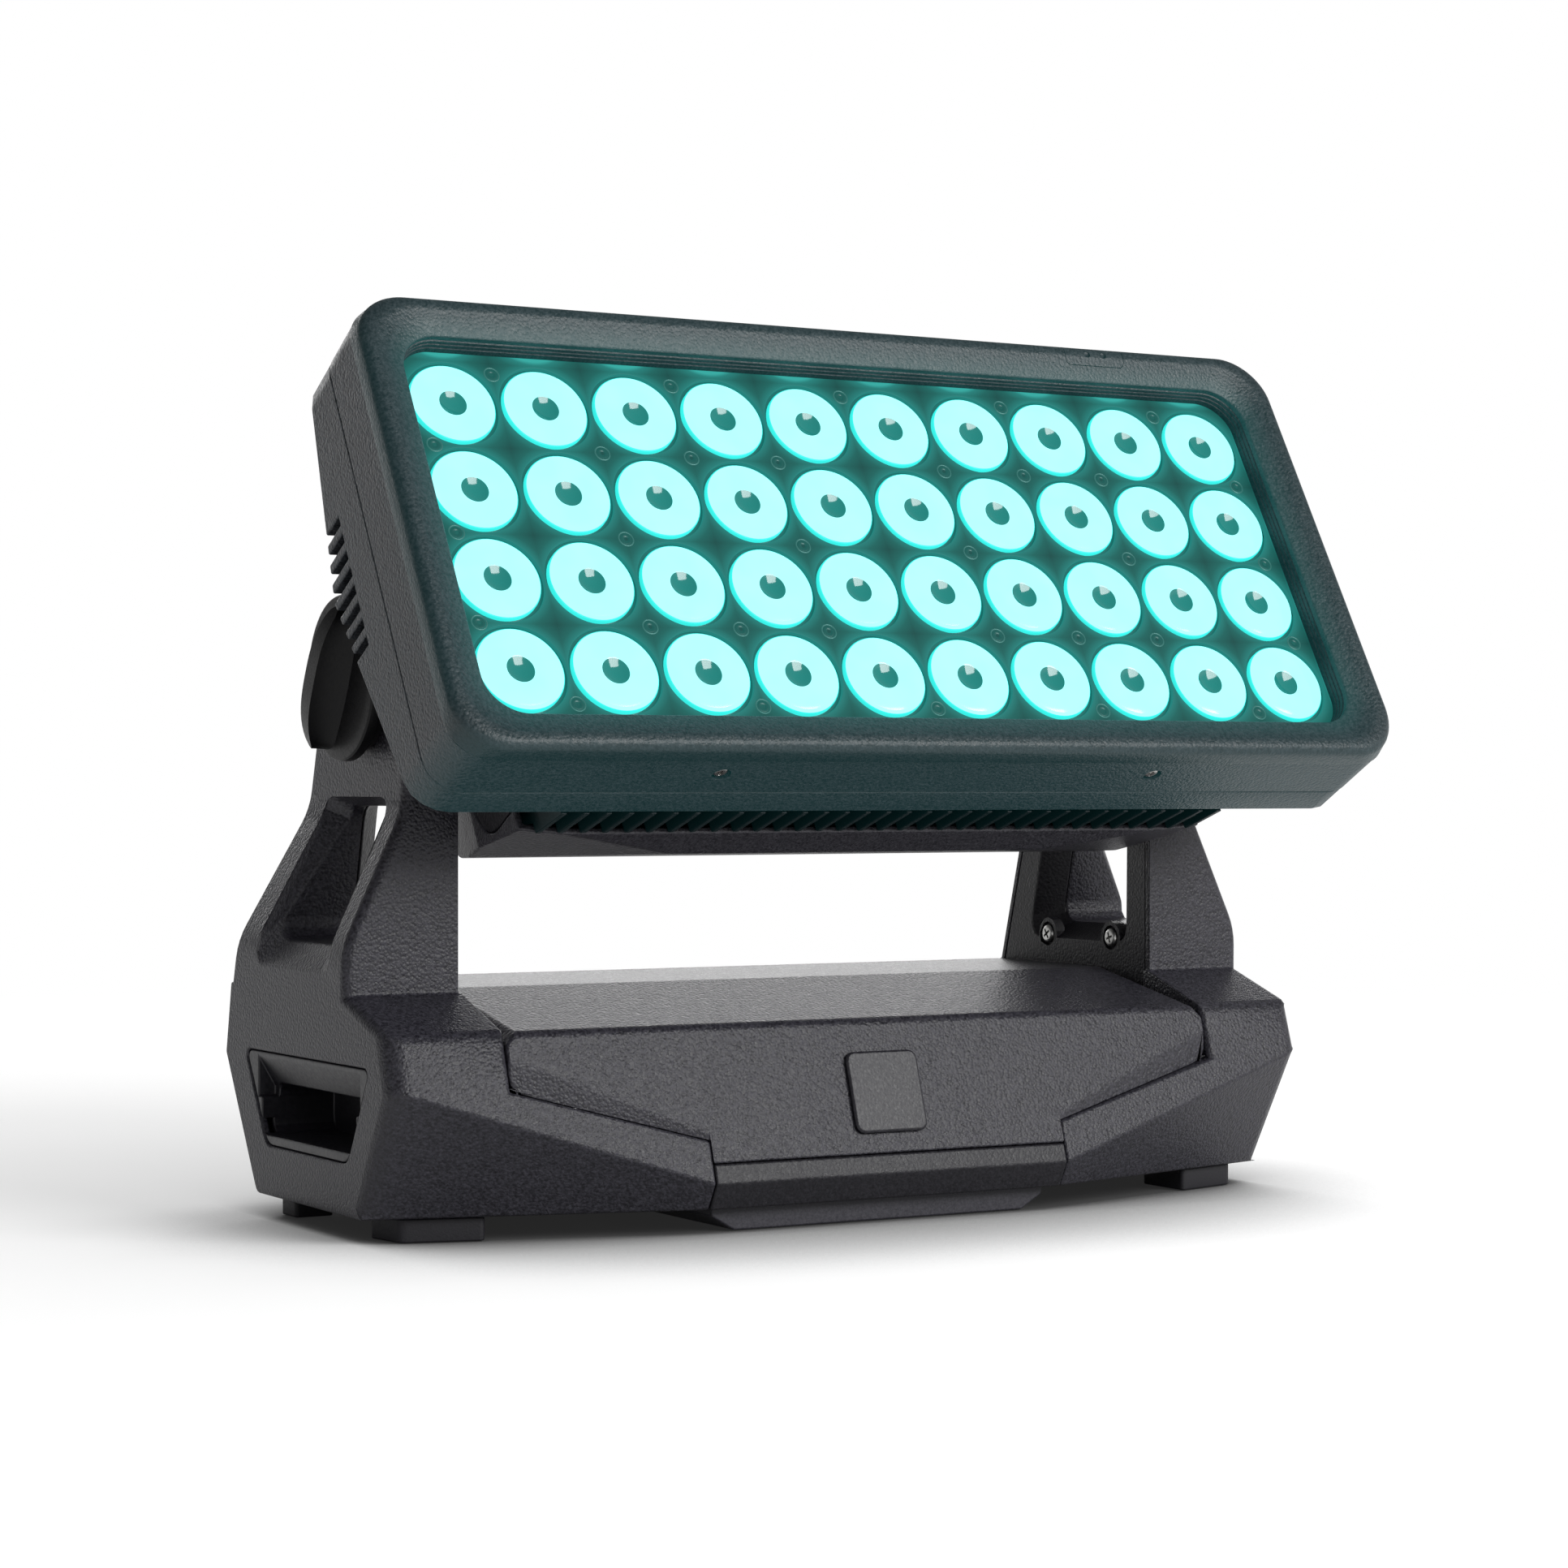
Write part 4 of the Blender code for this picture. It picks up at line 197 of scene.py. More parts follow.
def grained(name, colour, light, roughness, cell_mm, depth_mm, strength, specular=0.35):
    """A finish whose grain has cells of a real size: pebbles broken up by finer noise."""
    material, tree, shader = surface(name, colour, roughness)
    place = add(tree, "ShaderNodeTexCoord").outputs["Object"]
    fine = add(tree, "ShaderNodeTexNoise", {"Vector": place, "Scale": 0.9 / (cell_mm * MM), "Detail": 3.0,
                                            "Roughness": 0.6, "Distortion": 0.5})
    pebbles = add(tree, "ShaderNodeTexVoronoi", {"Vector": place, "Scale": 1 / (cell_mm * MM)})
    relief = add(tree, "ShaderNodeMath", {0: fine.outputs[0], 1: pebbles.outputs["Distance"]},
                 operation="SUBTRACT")
    bump = add(tree, "ShaderNodeBump", {"Height": relief.outputs[0], "Distance": depth_mm * MM,
                                        "Strength": strength})
    tree.links.new(bump.outputs[0], shader.inputs["Normal"])
    shader.inputs["Specular IOR Level"].default_value = specular
    tone = add(tree, "ShaderNodeValToRGB", {0: fine.outputs[0]})
    ramp_stops(tone, [(0.36, linear(colour)), (0.64, linear(light))])
    tree.links.new(tone.outputs[0], shader.inputs["Base Color"])
    shine = add(tree, "ShaderNodeMapRange", {0: fine.outputs[0], 1: 0.3, 2: 0.7, 3: roughness - 0.08,
                                             4: roughness + 0.08})
    tree.links.new(shine.outputs[0], shader.inputs["Roughness"])
    return material


# Charcoal ABS off a spark-eroded mould: broad soft sheen, broken up by the grain.
cover_abs = grained("charcoal_abs_spark_grain", "#16151b", "#323138", 0.42, 1.4, 0.26, 1.0)


def show(piece, body, slot, *stands_for):
    """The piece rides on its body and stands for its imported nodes."""
    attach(piece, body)
    if stands_for:
        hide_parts(*stands_for)
    return piece


def moulding(node, name, edge_mm, material, wide=None):
    """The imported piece's own form with rounded edges. wide(middle, direction) gives an edge its share."""
    bm = bmesh.new()
    bm.from_mesh(nodes[node].data)
    bmesh.ops.remove_doubles(bm, verts=bm.verts, dist=0.02 * MM)
    bmesh.ops.dissolve_limit(bm, angle_limit=math.radians(0.7), verts=bm.verts, edges=bm.edges)
    weight = bm.edges.layers.float.new("bevel_weight_edge")
    for edge in bm.edges:
        if len(edge.link_faces) != 2:
            continue
        turn = math.degrees(edge.calc_face_angle(0))
        length = max(edge.calc_length(), 0.01 * MM)
        strips = all(face.calc_area() / length < 12 * MM for face in edge.link_faces)
        if turn < 4 or (turn < 26 and strips):
            continue
        along = (edge.verts[0].co - edge.verts[1].co).normalized()
        room = edge_mm * MM / 0.42
        for vert in edge.verts:
            for other in vert.link_edges:
                across = (other.verts[0].co - other.verts[1].co)
                if other is not edge and abs(across.normalized().dot(along)) < 0.8:
                    room = min(room, across.length)
        share = wide((edge.verts[0].co + edge.verts[1].co) / 2, along) if wide else 1.0
        edge[weight] = min(share, 0.42 * room / (edge_mm * MM))
    for face in bm.faces:
        face.smooth = True
    mesh = settled_from(bm, name)
    mesh.set_sharp_from_angle(angle=math.radians(30))
    piece = linked(name, mesh, material)
    round_off = piece.modifiers.new("mould_radius", "BEVEL")
    round_off.width = edge_mm * MM
    round_off.segments = 3
    round_off.limit_method = "WEIGHT"
    round_off.use_clamp_overlap = False
    round_off.harden_normals = True
    return piece


def ridge_share(middle, along):
    """The long top ridges have the full radius, the other edges about a third of it."""
    ridge = abs(along.x) > 0.95 and middle.z > 80 * MM and abs(middle.y) > 80 * MM
    return 1.0 if ridge else 0.3


CORNER_MM = 9.0
COVER_EDGE_MM = 4.2
SEAM_EDGE_MM = 2.9
INNER_EDGE_MM = 2.5


def arm_share(middle, along):
    """An end cover is widely rounded in front of its end face, and less down the arm and at the seam."""
    end_face = abs(middle.x) > 229 * MM
    if end_face and middle.y < -70 * MM and abs(along.z) > 0.7:
        return 1.0
    if end_face and abs(middle.y + 64 * MM) < 4 * MM and middle.z > 86 * MM and abs(along.y) > 0.8:
        return COVER_EDGE_MM / CORNER_MM
    upright = middle.z > 104 * MM and abs(middle.y + 43.1 * MM) < MM and abs(along.y) < 0.2
    if upright:
        return (COVER_EDGE_MM if abs(middle.x) > 183 * MM else INNER_EDGE_MM) / CORNER_MM
    seam = abs(abs(middle.x) - 177.15 * MM) < 0.5 * MM and abs(middle.y) > 43 * MM
    if seam:
        return SEAM_EDGE_MM / CORNER_MM
    return ridge_share(middle, along) * COVER_EDGE_MM / CORNER_MM


def upright_share(middle, along):
    """A foot is rounded at its upright corners and only broken at its other edges."""
    return 1.0 if abs(along.z) > 0.9 else 0.13


show(moulding("centre_cover", "centre_base_cover", COVER_EDGE_MM, cover_abs, ridge_share), "base",
     "grained_plastic", "centre_cover")
for side in ("left", "right"):
    show(moulding(f"side_cover_{side}", f"base_end_cover_{side}", CORNER_MM, cover_abs, arm_share), "base",
         "grained_plastic", f"side_cover_{side}")


# Base tray. A pressed and welded steel pan under the covers carries everything. Its powder coat
# is textured to match the grain of the covers, and its lip shows as a strip under the middle one.
tray_coat = grained("charcoal_textured_powder_coat", "#111015", "#212025", 0.46, 1.4, 0.2, 0.8)
show(moulding("base_tray", "base_pan", 1.0, tray_coat), "base", "coated_steel", "base_tray")


# Feet and centre skid. The feet are rubber blocks screwed under the pan's corners, and the skid
# between them is a flat-bottomed nylon moulding with sloping ends.
foot_rubber = grained("black_moulded_rubber", "#131217", "#1a191e", 0.6, 0.9, 0.06, 0.5)
skid_nylon = grained("charcoal_satin_nylon", "#29282e", "#36353b", 0.45, 1.1, 0.06, 0.5)
for place_name in ("front_left", "front_right", "rear_left", "rear_right"):
    show(moulding(f"foot_{place_name}", f"rubber_foot_{place_name}", 6.0, foot_rubber, upright_share),
         "base", "rubber", f"foot_{place_name}")
show(moulding("centre_skid", "under_base_skid", 0.9, skid_nylon), "base", "smooth_plastic", "centre_skid")


# Badge. A raised square with a chamfered rim, moulded apart and glued in the middle of the front.
# It stays bare.
badge_abs = grained("charcoal_abs_badge", "#16151a", "#26252a", 0.42, 1.2, 0.12, 0.6)
show(moulding("badge_plate", "bare_badge", 0.7, badge_abs), "base", "smooth_plastic", "badge_plate")


# Handle cups. A smooth ABS frame lies in each end of the base, with a sloping lip over a pocket
# deep enough for four fingers.
frame_abs = grained("satin_charcoal_abs", "#141318", "#1d1c21", 0.38, 1.6, 0.05, 0.4)
for side in ("left", "right"):
    show(moulding(f"handle_cup_{side}", f"finger_pocket_{side}", 0.8, frame_abs), "base",
         "smooth_plastic", f"handle_cup_{side}")


# Arm plates. The load goes through a steel plate on the inner side of each arm, coated to match
# the covers, with its own cut-out inside the arm's window.
def plate_share(middle, along):
    """Every edge is broken but those of the counterbores and the window's sill, which stay sharp."""
    return 0.0 if 106 * MM < middle.z < 127 * MM and abs(middle.y) < 46 * MM else 1.0


for side in ("left", "right"):
    show(moulding(f"arm_plate_{side}", f"inner_arm_plate_{side}", 1.0, tray_coat, plate_share), "base",
         "coated_steel", f"arm_plate_{side}")


# Arm screws. Two zinc-plated pan-head screws under each window, with a cross recess and a worn,
# slightly clouded plating.
zinc, tree, shader = surface("bright_zinc_plating", "#b9b9b6", 0.3, 1.0)
place = add(tree, "ShaderNodeTexCoord").outputs["Object"]
cloud = add(tree, "ShaderNodeTexNoise", {"Vector": place, "Scale": 900.0, "Detail": 4.0})
dull = add(tree, "ShaderNodeMapRange", {0: cloud.outputs[0], 3: 0.2, 4: 0.42})
tree.links.new(dull.outputs[0], shader.inputs["Roughness"])
plating = add(tree, "ShaderNodeValToRGB", {0: cloud.outputs[0]})
ramp_stops(plating, [(0.35, linear("#a9a9a8")), (0.7, linear("#c9c8c4"))])
tree.links.new(plating.outputs[0], shader.inputs["Base Color"])


def turned(profile, sides):
    """Lathe mesh about Z from (radius, height) pairs, closed if they start and end on the axis."""
    bm = bmesh.new()
    points = [bm.verts.new((r, 0, z)) for r, z in profile]
    edges = [bm.edges.new(pair) for pair in zip(points, points[1:])]
    bmesh.ops.spin(bm, geom=points + edges, cent=(0, 0, 0), axis=(0, 0, 1), angle=math.tau,
                   steps=sides, use_merge=True)
    bmesh.ops.remove_doubles(bm, verts=bm.verts, dist=0.002 * MM)
    bmesh.ops.recalc_face_normals(bm, faces=bm.faces)
    for face in bm.faces:
        face.smooth = True
    return bm


def carved(mesh, tools, operation="DIFFERENCE"):
    """The mesh cut by other meshes, or kept only inside them; all of them are used up."""
    piece = linked(mesh.name, mesh)
    for tool_mesh in tools:
        tool = linked("tool", tool_mesh)
        change = piece.modifiers.new("carve", "BOOLEAN")
        change.operation = operation
        change.solver = "EXACT"
        change.object = tool
        graph = bpy.context.evaluated_depsgraph_get()
        settled = bpy.data.meshes.new_from_object(piece.evaluated_get(graph))
        piece.modifiers.clear()
        piece.data = settled
        bpy.data.objects.remove(tool)
    result = piece.data
    bpy.data.objects.remove(piece)
    return result


def screw_mesh(name, radius, height, shank, shank_length):
    """Flat-topped pan-head screw with a cross recess, head up along Z, its seat at zero."""
    head = [(0, height), (radius * 0.62, height * 0.97)]
    for k in range(1, 8):
        turn = math.radians(90 * k / 7)
        head.append((radius * (0.62 + 0.38 * math.sin(turn)), height * (0.4 + 0.57 * math.cos(turn))))
    body = turned(head + [(radius, 0), (shank, 0), (shank, -shank_length), (0, -shank_length)], 40)
    slots = []
    for wide, tall in ((0.62, 0.13), (0.13, 0.62)):
        slot = bmesh.new()
        bmesh.ops.create_cube(slot, size=2.0)
        for vert in slot.verts:
            narrow = 0.75 if vert.co.z < 0 else 1.0
            vert.co = (vert.co.x * radius * wide * narrow, vert.co.y * radius * tall * narrow,
                       height * (0.72 + 0.45 * vert.co.z))
        slots.append(settled_from(slot, "recess"))
    result = carved(settled_from(body, name), slots)
    result.set_sharp_from_angle(angle=math.radians(32))
    return result


screw_height = 2.6 * MM
for side in ("left", "right"):
    for number in (1, 2):
        node = f"arm_screw_{side}_{number}"
        low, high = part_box(node)
        middle = (Vector(low) + Vector(high)) / 2
        way = -1 if side == "right" else 1
        seat = (low[0] if side == "right" else high[0]) - way * screw_height
        mesh = screw_mesh(f"pan_head_screw_{side}_{number}", 4.5 * MM, screw_height, 2.4 * MM, 17.4 * MM)
        mesh.transform(Matrix.Translation((seat, middle.y, middle.z))
                       @ Matrix.Rotation(math.radians(90 * way), 4, "Y")
                       @ Matrix.Rotation(math.radians(17 * number), 4, "Z"))
        show(linked(mesh.name, mesh, zinc), "base", "zinc_steel", node)


# Rear panel. Black-coated sheet let into the back of the middle cover. It carries the dark
# display window, four rubber keys, and nylon sockets for power and data.
sheet_coat = grained("black_fine_powder_coat", "#1d1d20", "#212124", 0.42, 0.7, 0.04, 0.5)
show(moulding("rear_panel", "connection_panel", 0.35, sheet_coat), "base", "coated_steel", "rear_panel")

window_glass, tree, shader = surface("smoked_acrylic_window", "#0c0f12", 0.08)
place = add(tree, "ShaderNodeTexCoord").outputs["Object"]
haze = add(tree, "ShaderNodeTexNoise", {"Vector": place, "Scale": 60.0, "Detail": 3.0})
smear = add(tree, "ShaderNodeMapRange", {0: haze.outputs[0], 3: 0.05, 4: 0.16})
tree.links.new(smear.outputs[0], shader.inputs["Roughness"])
show(moulding("display_window", "display_cover", 0.3, window_glass), "base", "display_dark",
     "display_window")

key_rubber = grained("black_silicone_key", "#151518", "#19191c", 0.55, 0.5, 0.02, 0.4)
for number in (1, 2, 3, 4):
    show(moulding(f"menu_button_{number}", f"menu_key_{number}", 0.5, key_rubber), f"key_{number}",
         "knob_plastic", f"menu_button_{number}")

socket_nylon = grained("black_glass_filled_nylon", "#131316", "#18181b", 0.5, 0.6, 0.05, 0.5)
for node in ("power_inlet", "power_outlet", "data_inlet", "data_outlet"):
    show(moulding(node, f"{node}_socket", 0.4, socket_nylon), "base", "knob_plastic", node)


# Inside the base. The potted power supply and the control board stand on the pan, out of sight.
case_coat = grained("black_potted_case", "#1b1b1e", "#1f1f22", 0.4, 0.8, 0.03, 0.4)
board_green = grained("green_solder_mask", "#10401f", "#144a26", 0.35, 2.0, 0.03, 0.4)


def finished(node, material):
    """A hidden piece keeps its packed form and gets its finish."""
    nodes[node].data.materials.clear()
    nodes[node].data.materials.append(material)


finished("power_supply", case_coat)
finished("control_board", board_green)


# Head carrier. Steel side plates bolted to the heat sink take the tilt studs. A fibre washer
# between plate and arm gives the friction that the lock knobs clamp.
washer_fibre = grained("dark_friction_fibre", "#1a191a", "#242221", 0.75, 0.8, 0.08, 0.7)
for side in ("left", "right"):
    show(moulding(f"head_side_plate_{side}", f"carrier_plate_{side}", 0.7, tray_coat), "head",
         "coated_steel", f"head_side_plate_{side}")
    finished(f"tilt_stud_{side}", zinc)
    finished(f"friction_washer_{side}", washer_fibre)


# Heat sink. Die-cast aluminium with 33 fins, blasted and anodised black, so it is darker and a
# little more metallic than the plastic round it.
anodised, tree, shader = surface("black_anodised_casting", "#2a2b2d", 0.45, 0.85)
place = add(tree, "ShaderNodeTexCoord").outputs["Object"]
cast = add(tree, "ShaderNodeTexNoise", {"Vector": place, "Scale": 1400.0, "Detail": 4.0})
bump = add(tree, "ShaderNodeBump", {"Height": cast.outputs[0], "Distance": 0.06 * MM, "Strength": 0.5})
tree.links.new(bump.outputs[0], shader.inputs["Normal"])
skin = add(tree, "ShaderNodeValToRGB", {0: cast.outputs[0]})
ramp_stops(skin, [(0.3, linear("#242527")), (0.75, linear("#333436"))])
tree.links.new(skin.outputs[0], shader.inputs["Base Color"])
show(moulding("heat_sink", "finned_casting", 0.5, anodised), "head", "heat_sink_aluminium", "heat_sink")


# Emitter board. White solder mask on an aluminium core, one emitter behind each lens.
board_white = grained("white_solder_mask", "#b9bab6", "#c4c5c1", 0.4, 2.0, 0.03, 0.4)
finished("led_board", board_white)


# Lenses. Forty clear acrylic collimators in four moulded strips. Lit from behind, the face is an
# even, almost white cyan; a shallow step runs round near the rim, and the dimple in the middle is
# out of the beam and looks dark teal.
PIVOT = Vector((0, 0, 234.2 * MM))
HEAD_LEAN = math.radians(-30)
HEAD = Matrix.Translation(PIVOT) @ Matrix.Rotation(HEAD_LEAN, 4, "X")
COLUMNS, ROWS = 10, 4
PITCH, ROW_PITCH = 42.5 * MM, 43.0 * MM
MASK_Y = -112.6 * MM
ROUND_SIDES = 56


def glowing(name, base, glow, strength, roughness):
    """Lit acrylic: the beam's colour from inside with the gloss of the moulded surface over it."""
    material, tree, shader = surface(name, base, roughness)
    place = add(tree, "ShaderNodeTexCoord").outputs["Object"]
    swirl = add(tree, "ShaderNodeTexNoise", {"Vector": place, "Scale": 70.0, "Detail": 1.0})
    tint = add(tree, "ShaderNodeValToRGB", {0: swirl.outputs[0]})
    ramp_stops(tint, [(0.35, linear(glow)), (0.65, [min(1.0, c * 1.06) for c in linear(glow)])])
    tree.links.new(tint.outputs[0], shader.inputs["Emission Color"])
    shader.inputs["Emission Strength"].default_value = strength
    return material


lens_face = glowing("lit_acrylic_face", "#2c8f92", "#b2f6f3", 1.0, 0.12)
lens_edge = glowing("lit_acrylic_rim", "#0f7a78", "#38e6dc", 1.0, 0.15)
lens_dimple = glowing("unlit_acrylic_dimple", "#0d4f4b", "#1d6f69", 0.8, 0.1)
lens_flange = glowing("shaded_acrylic_flange", "#0a2e2d", "#167a73", 0.6, 0.3)


def row_tree():
    """Geometry Nodes: a piece repeated along a line, with one finish."""
    tree = bpy.data.node_groups.new("repeat_in_a_row", "GeometryNodeTree")
    sockets = {}
    tree.interface.new_socket("Geometry", in_out="INPUT", socket_type="NodeSocketGeometry")
    for label, kind in (("Piece", "NodeSocketObject"), ("Count", "NodeSocketInt"),
                        ("Start", "NodeSocketVector"), ("Step", "NodeSocketVector"),
                        ("Finish", "NodeSocketMaterial")):
        socket = tree.interface.new_socket(label, in_out="INPUT", socket_type=kind)
        sockets[label] = socket.identifier
    tree.interface.new_socket("Geometry", in_out="OUTPUT", socket_type="NodeSocketGeometry")
    given = add(tree, "NodeGroupInput")
    line = add(tree, "GeometryNodeMeshLine", {"Count": given.outputs["Count"],
                                              "Start Location": given.outputs["Start"],
                                              "Offset": given.outputs["Step"]})
    source = add(tree, "GeometryNodeObjectInfo", {"Object": given.outputs["Piece"]})
    placed = add(tree, "GeometryNodeInstanceOnPoints", {"Points": line.outputs[0],
                                                        "Instance": source.outputs["Geometry"]})
    real = add(tree, "GeometryNodeRealizeInstances", {0: placed.outputs[0]})
    coated = add(tree, "GeometryNodeSetMaterial", {"Geometry": real.outputs[0],
                                                   "Material": given.outputs["Finish"]})
    add(tree, "NodeGroupOutput", {0: coated.outputs[0]})
    return tree, sockets


ROW_TREE, ROW_INPUTS = row_tree()


def in_a_row(bm, count, start, step, finish):
    """Plain mesh of the shape repeated in a row; the shape is freed."""
    one = linked("one", settled_from(bm, "one"), finish)
    carrier = linked("row", bpy.data.meshes.new("row"))
    change = carrier.modifiers.new("row", "NODES")
    change.node_group = ROW_TREE
    for label, value in (("Piece", one), ("Count", count), ("Start", start), ("Step", step),
                         ("Finish", finish)):
        change[ROW_INPUTS[label]] = value
    graph = bpy.context.evaluated_depsgraph_get()
    mesh = bpy.data.meshes.new_from_object(carrier.evaluated_get(graph))
    carrier.modifiers.clear()
    bpy.data.objects.remove(carrier)
    bpy.data.objects.remove(one)
    return mesh


def merged(name, meshes):
    """One mesh from several, each keeping its own material."""
    bm = bmesh.new()
    result = bpy.data.meshes.new(name)
    for index, mesh in enumerate(meshes):
        known = len(bm.faces)
        bm.from_mesh(mesh)
        bm.faces.ensure_lookup_table()
        for face in bm.faces[known:]:
            face.material_index = index
        result.materials.append(mesh.materials[0])
        bpy.data.meshes.remove(mesh)
    bm.to_mesh(result)
    bm.free()
    return result


def facing_front(bm):
    """A lathe shape about Z turned so that its top faces the front of the head."""
    bmesh.ops.transform(bm, matrix=Matrix.Rotation(math.radians(90), 4, "X"), verts=bm.verts)
    return bm


FACE_TOP = 0.4 * MM
face_profile = [(6.1, -0.25), (7.0, 0.0), (16.2, -0.05), (16.9, -0.32), (17.4, -0.36), (18.7, -0.4)]
rim_profile = [(18.7, -0.4), (19.05, -0.62), (19.2, -1.0), (19.2, -3.6)]
dimple_profile = [(0, -1.9), (1.8, -1.75), (3.6, -1.3), (5.0, -0.75), (6.1, -0.25)]
for row in range(ROWS):
    level = ((ROWS - 1) / 2 - row) * ROW_PITCH
    start = Vector((-(COLUMNS - 1) / 2 * PITCH, MASK_Y, level))
    meshes = []
    for profile, finish in ((face_profile, lens_face), (rim_profile, lens_edge),
                            (dimple_profile, lens_dimple)):
        shape = turned([(r * MM, FACE_TOP + z * MM) for r, z in profile], ROUND_SIDES)
        for face in shape.faces:
            outward = Vector((face.calc_center_median().x, face.calc_center_median().y, 2.0))
            if face.normal.dot(outward) < 0:
                face.normal_flip()
        meshes.append(in_a_row(facing_front(shape), COLUMNS, start, (PITCH, 0, 0), finish))
    strip = bmesh.new()
    bmesh.ops.create_cube(strip, size=1.0)
    reach = (COLUMNS - 1) / 2 * PITCH + 20.2 * MM
    for vert in strip.verts:
        vert.co = (vert.co.x * 2 * reach, MASK_Y + 3.2 * MM + vert.co.y * 1.8 * MM,
                   level + vert.co.z * (ROW_PITCH - 0.3 * MM))
    flange = settled_from(strip, "flange")
    flange.materials.append(lens_flange)
    mesh = merged(f"lens_strip_{row + 1}", meshes + [flange])
    mesh.transform(HEAD)
    show(linked(mesh.name, mesh), "head", "lens_acrylic", f"lens_row_{row + 1}")


# Mask plate. Black ABS with a hole round each lens and small recessed screws between them. The
# lenses light it, so each hole has a teal halo that fades out between the lenses.
mask_abs, tree, shader = surface("black_abs_mask", "#030807", 0.5)
shader.inputs["Specular IOR Level"].default_value = 0.12


def place_on_head(tree):
    """Where the surface is when the head stands level."""
    place = add(tree, "ShaderNodeTexCoord").outputs["Object"]
    return add(tree, "ShaderNodeMapping", {"Vector": place, "Location": PIVOT,
                                           "Rotation": (HEAD_LEAN, 0, 0)}, vector_type="TEXTURE").outputs[0]


across = add(tree, "ShaderNodeSeparateXYZ", {0: place_on_head(tree)})
column = add(tree, "ShaderNodeMath", {0: across.outputs["X"], 1: PITCH, 2: 0.0}, operation="WRAP")
column_offset = add(tree, "ShaderNodeMath", {0: column.outputs[0], 1: PITCH / 2}, operation="SUBTRACT")
line = add(tree, "ShaderNodeMath", {0: across.outputs["Z"], 1: ROW_PITCH, 2: 0.0}, operation="WRAP")
line_offset = add(tree, "ShaderNodeMath", {0: line.outputs[0], 1: ROW_PITCH / 2}, operation="SUBTRACT")
offset = add(tree, "ShaderNodeCombineXYZ", {0: column_offset.outputs[0], 1: line_offset.outputs[0]})
away = add(tree, "ShaderNodeVectorMath", {0: offset.outputs[0]}, operation="LENGTH")
halo = add(tree, "ShaderNodeMapRange", {0: away.outputs["Value"], 1: 19 * MM, 2: 30 * MM})
halo_colour = add(tree, "ShaderNodeValToRGB", {0: halo.outputs[0]})
ramp_stops(halo_colour, [(0.0, linear("#36aaa2")), (0.16, linear("#24807a")), (0.5, linear("#1c655f")),
                         (1.0, linear("#174f4b"))])
tree.links.new(halo_colour.outputs[0], shader.inputs["Emission Color"])
shader.inputs["Emission Strength"].default_value = 1.0

outline = bpy.data.curves.new("mask_outline", "CURVE")
outline.dimensions = "2D"
outline.fill_mode = "BOTH"
outline.extrude = 0.75 * MM
outline.bevel_depth = 0.25 * MM
outline.bevel_resolution = 2
outline.offset = -0.25 * MM


def closed_line(points):
    spline = outline.splines.new("POLY")
    spline.points.add(len(points) - 1)
    for point, (x, y) in zip(spline.points, points):
        point.co = (x, y, 0, 1)
    spline.use_cyclic_u = True


def rounded_rectangle(half_width, half_height, corner, steps):
    """Outline points, anticlockwise, with the same number of points at every size."""
    points = []
    for quarter, (sx, sy) in enumerate(((1, 1), (-1, 1), (-1, -1), (1, -1))):
        for k in range(steps + 1):
            turn = math.radians(90) * (quarter + k / steps)
            points.append((sx * (half_width - corner) + corner * math.cos(turn),
                           sy * (half_height - corner) + corner * math.sin(turn)))
    return points


MASK_HOLE = 20.8 * MM
closed_line(rounded_rectangle(226.8 * MM, 103.0 * MM, 10.7 * MM, 12))
for row in range(ROWS):
    for column_number in range(COLUMNS):
        x = (column_number - (COLUMNS - 1) / 2) * PITCH
        z = (row - (ROWS - 1) / 2) * ROW_PITCH
        turns = [math.tau * k / ROUND_SIDES for k in range(ROUND_SIDES)]
        closed_line([(x + MASK_HOLE * math.cos(turn), z + MASK_HOLE * math.sin(turn)) for turn in turns])
flat = linked("mask_outline", outline)
graph = bpy.context.evaluated_depsgraph_get()
mesh = bpy.data.meshes.new_from_object(flat.evaluated_get(graph))
bpy.data.objects.remove(flat)
mesh.transform(HEAD @ Matrix.Translation((0, MASK_Y + 1.0 * MM, 0))
               @ Matrix.Rotation(math.radians(90), 4, "X"))
mesh.name = "mask_plate_skin"
show(linked("lens_mask", mesh, mask_abs), "head", "mask_plastic", "mask_plate")

# The screw heads are blackened steel with the lens light painted on as a teal glow. Each ring round a screw
# is painted light teal and glowing, as a painted highlight.
screw_black_glow, tree, shader = surface("blackened_screw", "#12201f", 0.3, 0.6)
place = add(tree, "ShaderNodeTexCoord").outputs["Object"]
cloud = add(tree, "ShaderNodeTexNoise", {"Vector": place, "Scale": 1200.0, "Detail": 3.0})
dull = add(tree, "ShaderNodeMapRange", {0: cloud.outputs[0], 3: 0.22, 4: 0.4})
tree.links.new(dull.outputs[0], shader.inputs["Roughness"])
shader.inputs["Emission Color"].default_value = linear("#1d6a64")
shader.inputs["Emission Strength"].default_value = 0.7
ring_highlight, tree, shader = surface("worn_screw_ring", "#2c4d4a", 0.35, 0.5)
shader.inputs["Emission Color"].default_value = linear("#3c9189")
shader.inputs["Emission Strength"].default_value = 0.4
ring_profile = [(3.0, 0.0), (3.15, 0.24), (3.5, 0.28), (3.7, 0.0)]
head_profile = [(0, -0.1), (0.9, -0.05), (1.0, 0.1), (2.2, 0.1), (2.7, 0.0)]
screws = []
rows_of_screws = [
    (1.87, 5, -4.0, 2.0), (-1.87, 5, -4.0, 2.0),
    (1.0, 3, -3.0, 1.0), (1.0, 3, 1.0, 1.0), (-1.0, 3, -3.0, 1.0), (-1.0, 3, 1.0, 1.0),
    (0.0, 4, -3.0, 2.0), (1.0, 2, -4.81, 9.62), (0.0, 2, -4.81, 9.62), (-1.0, 2, -4.81, 9.62),
]
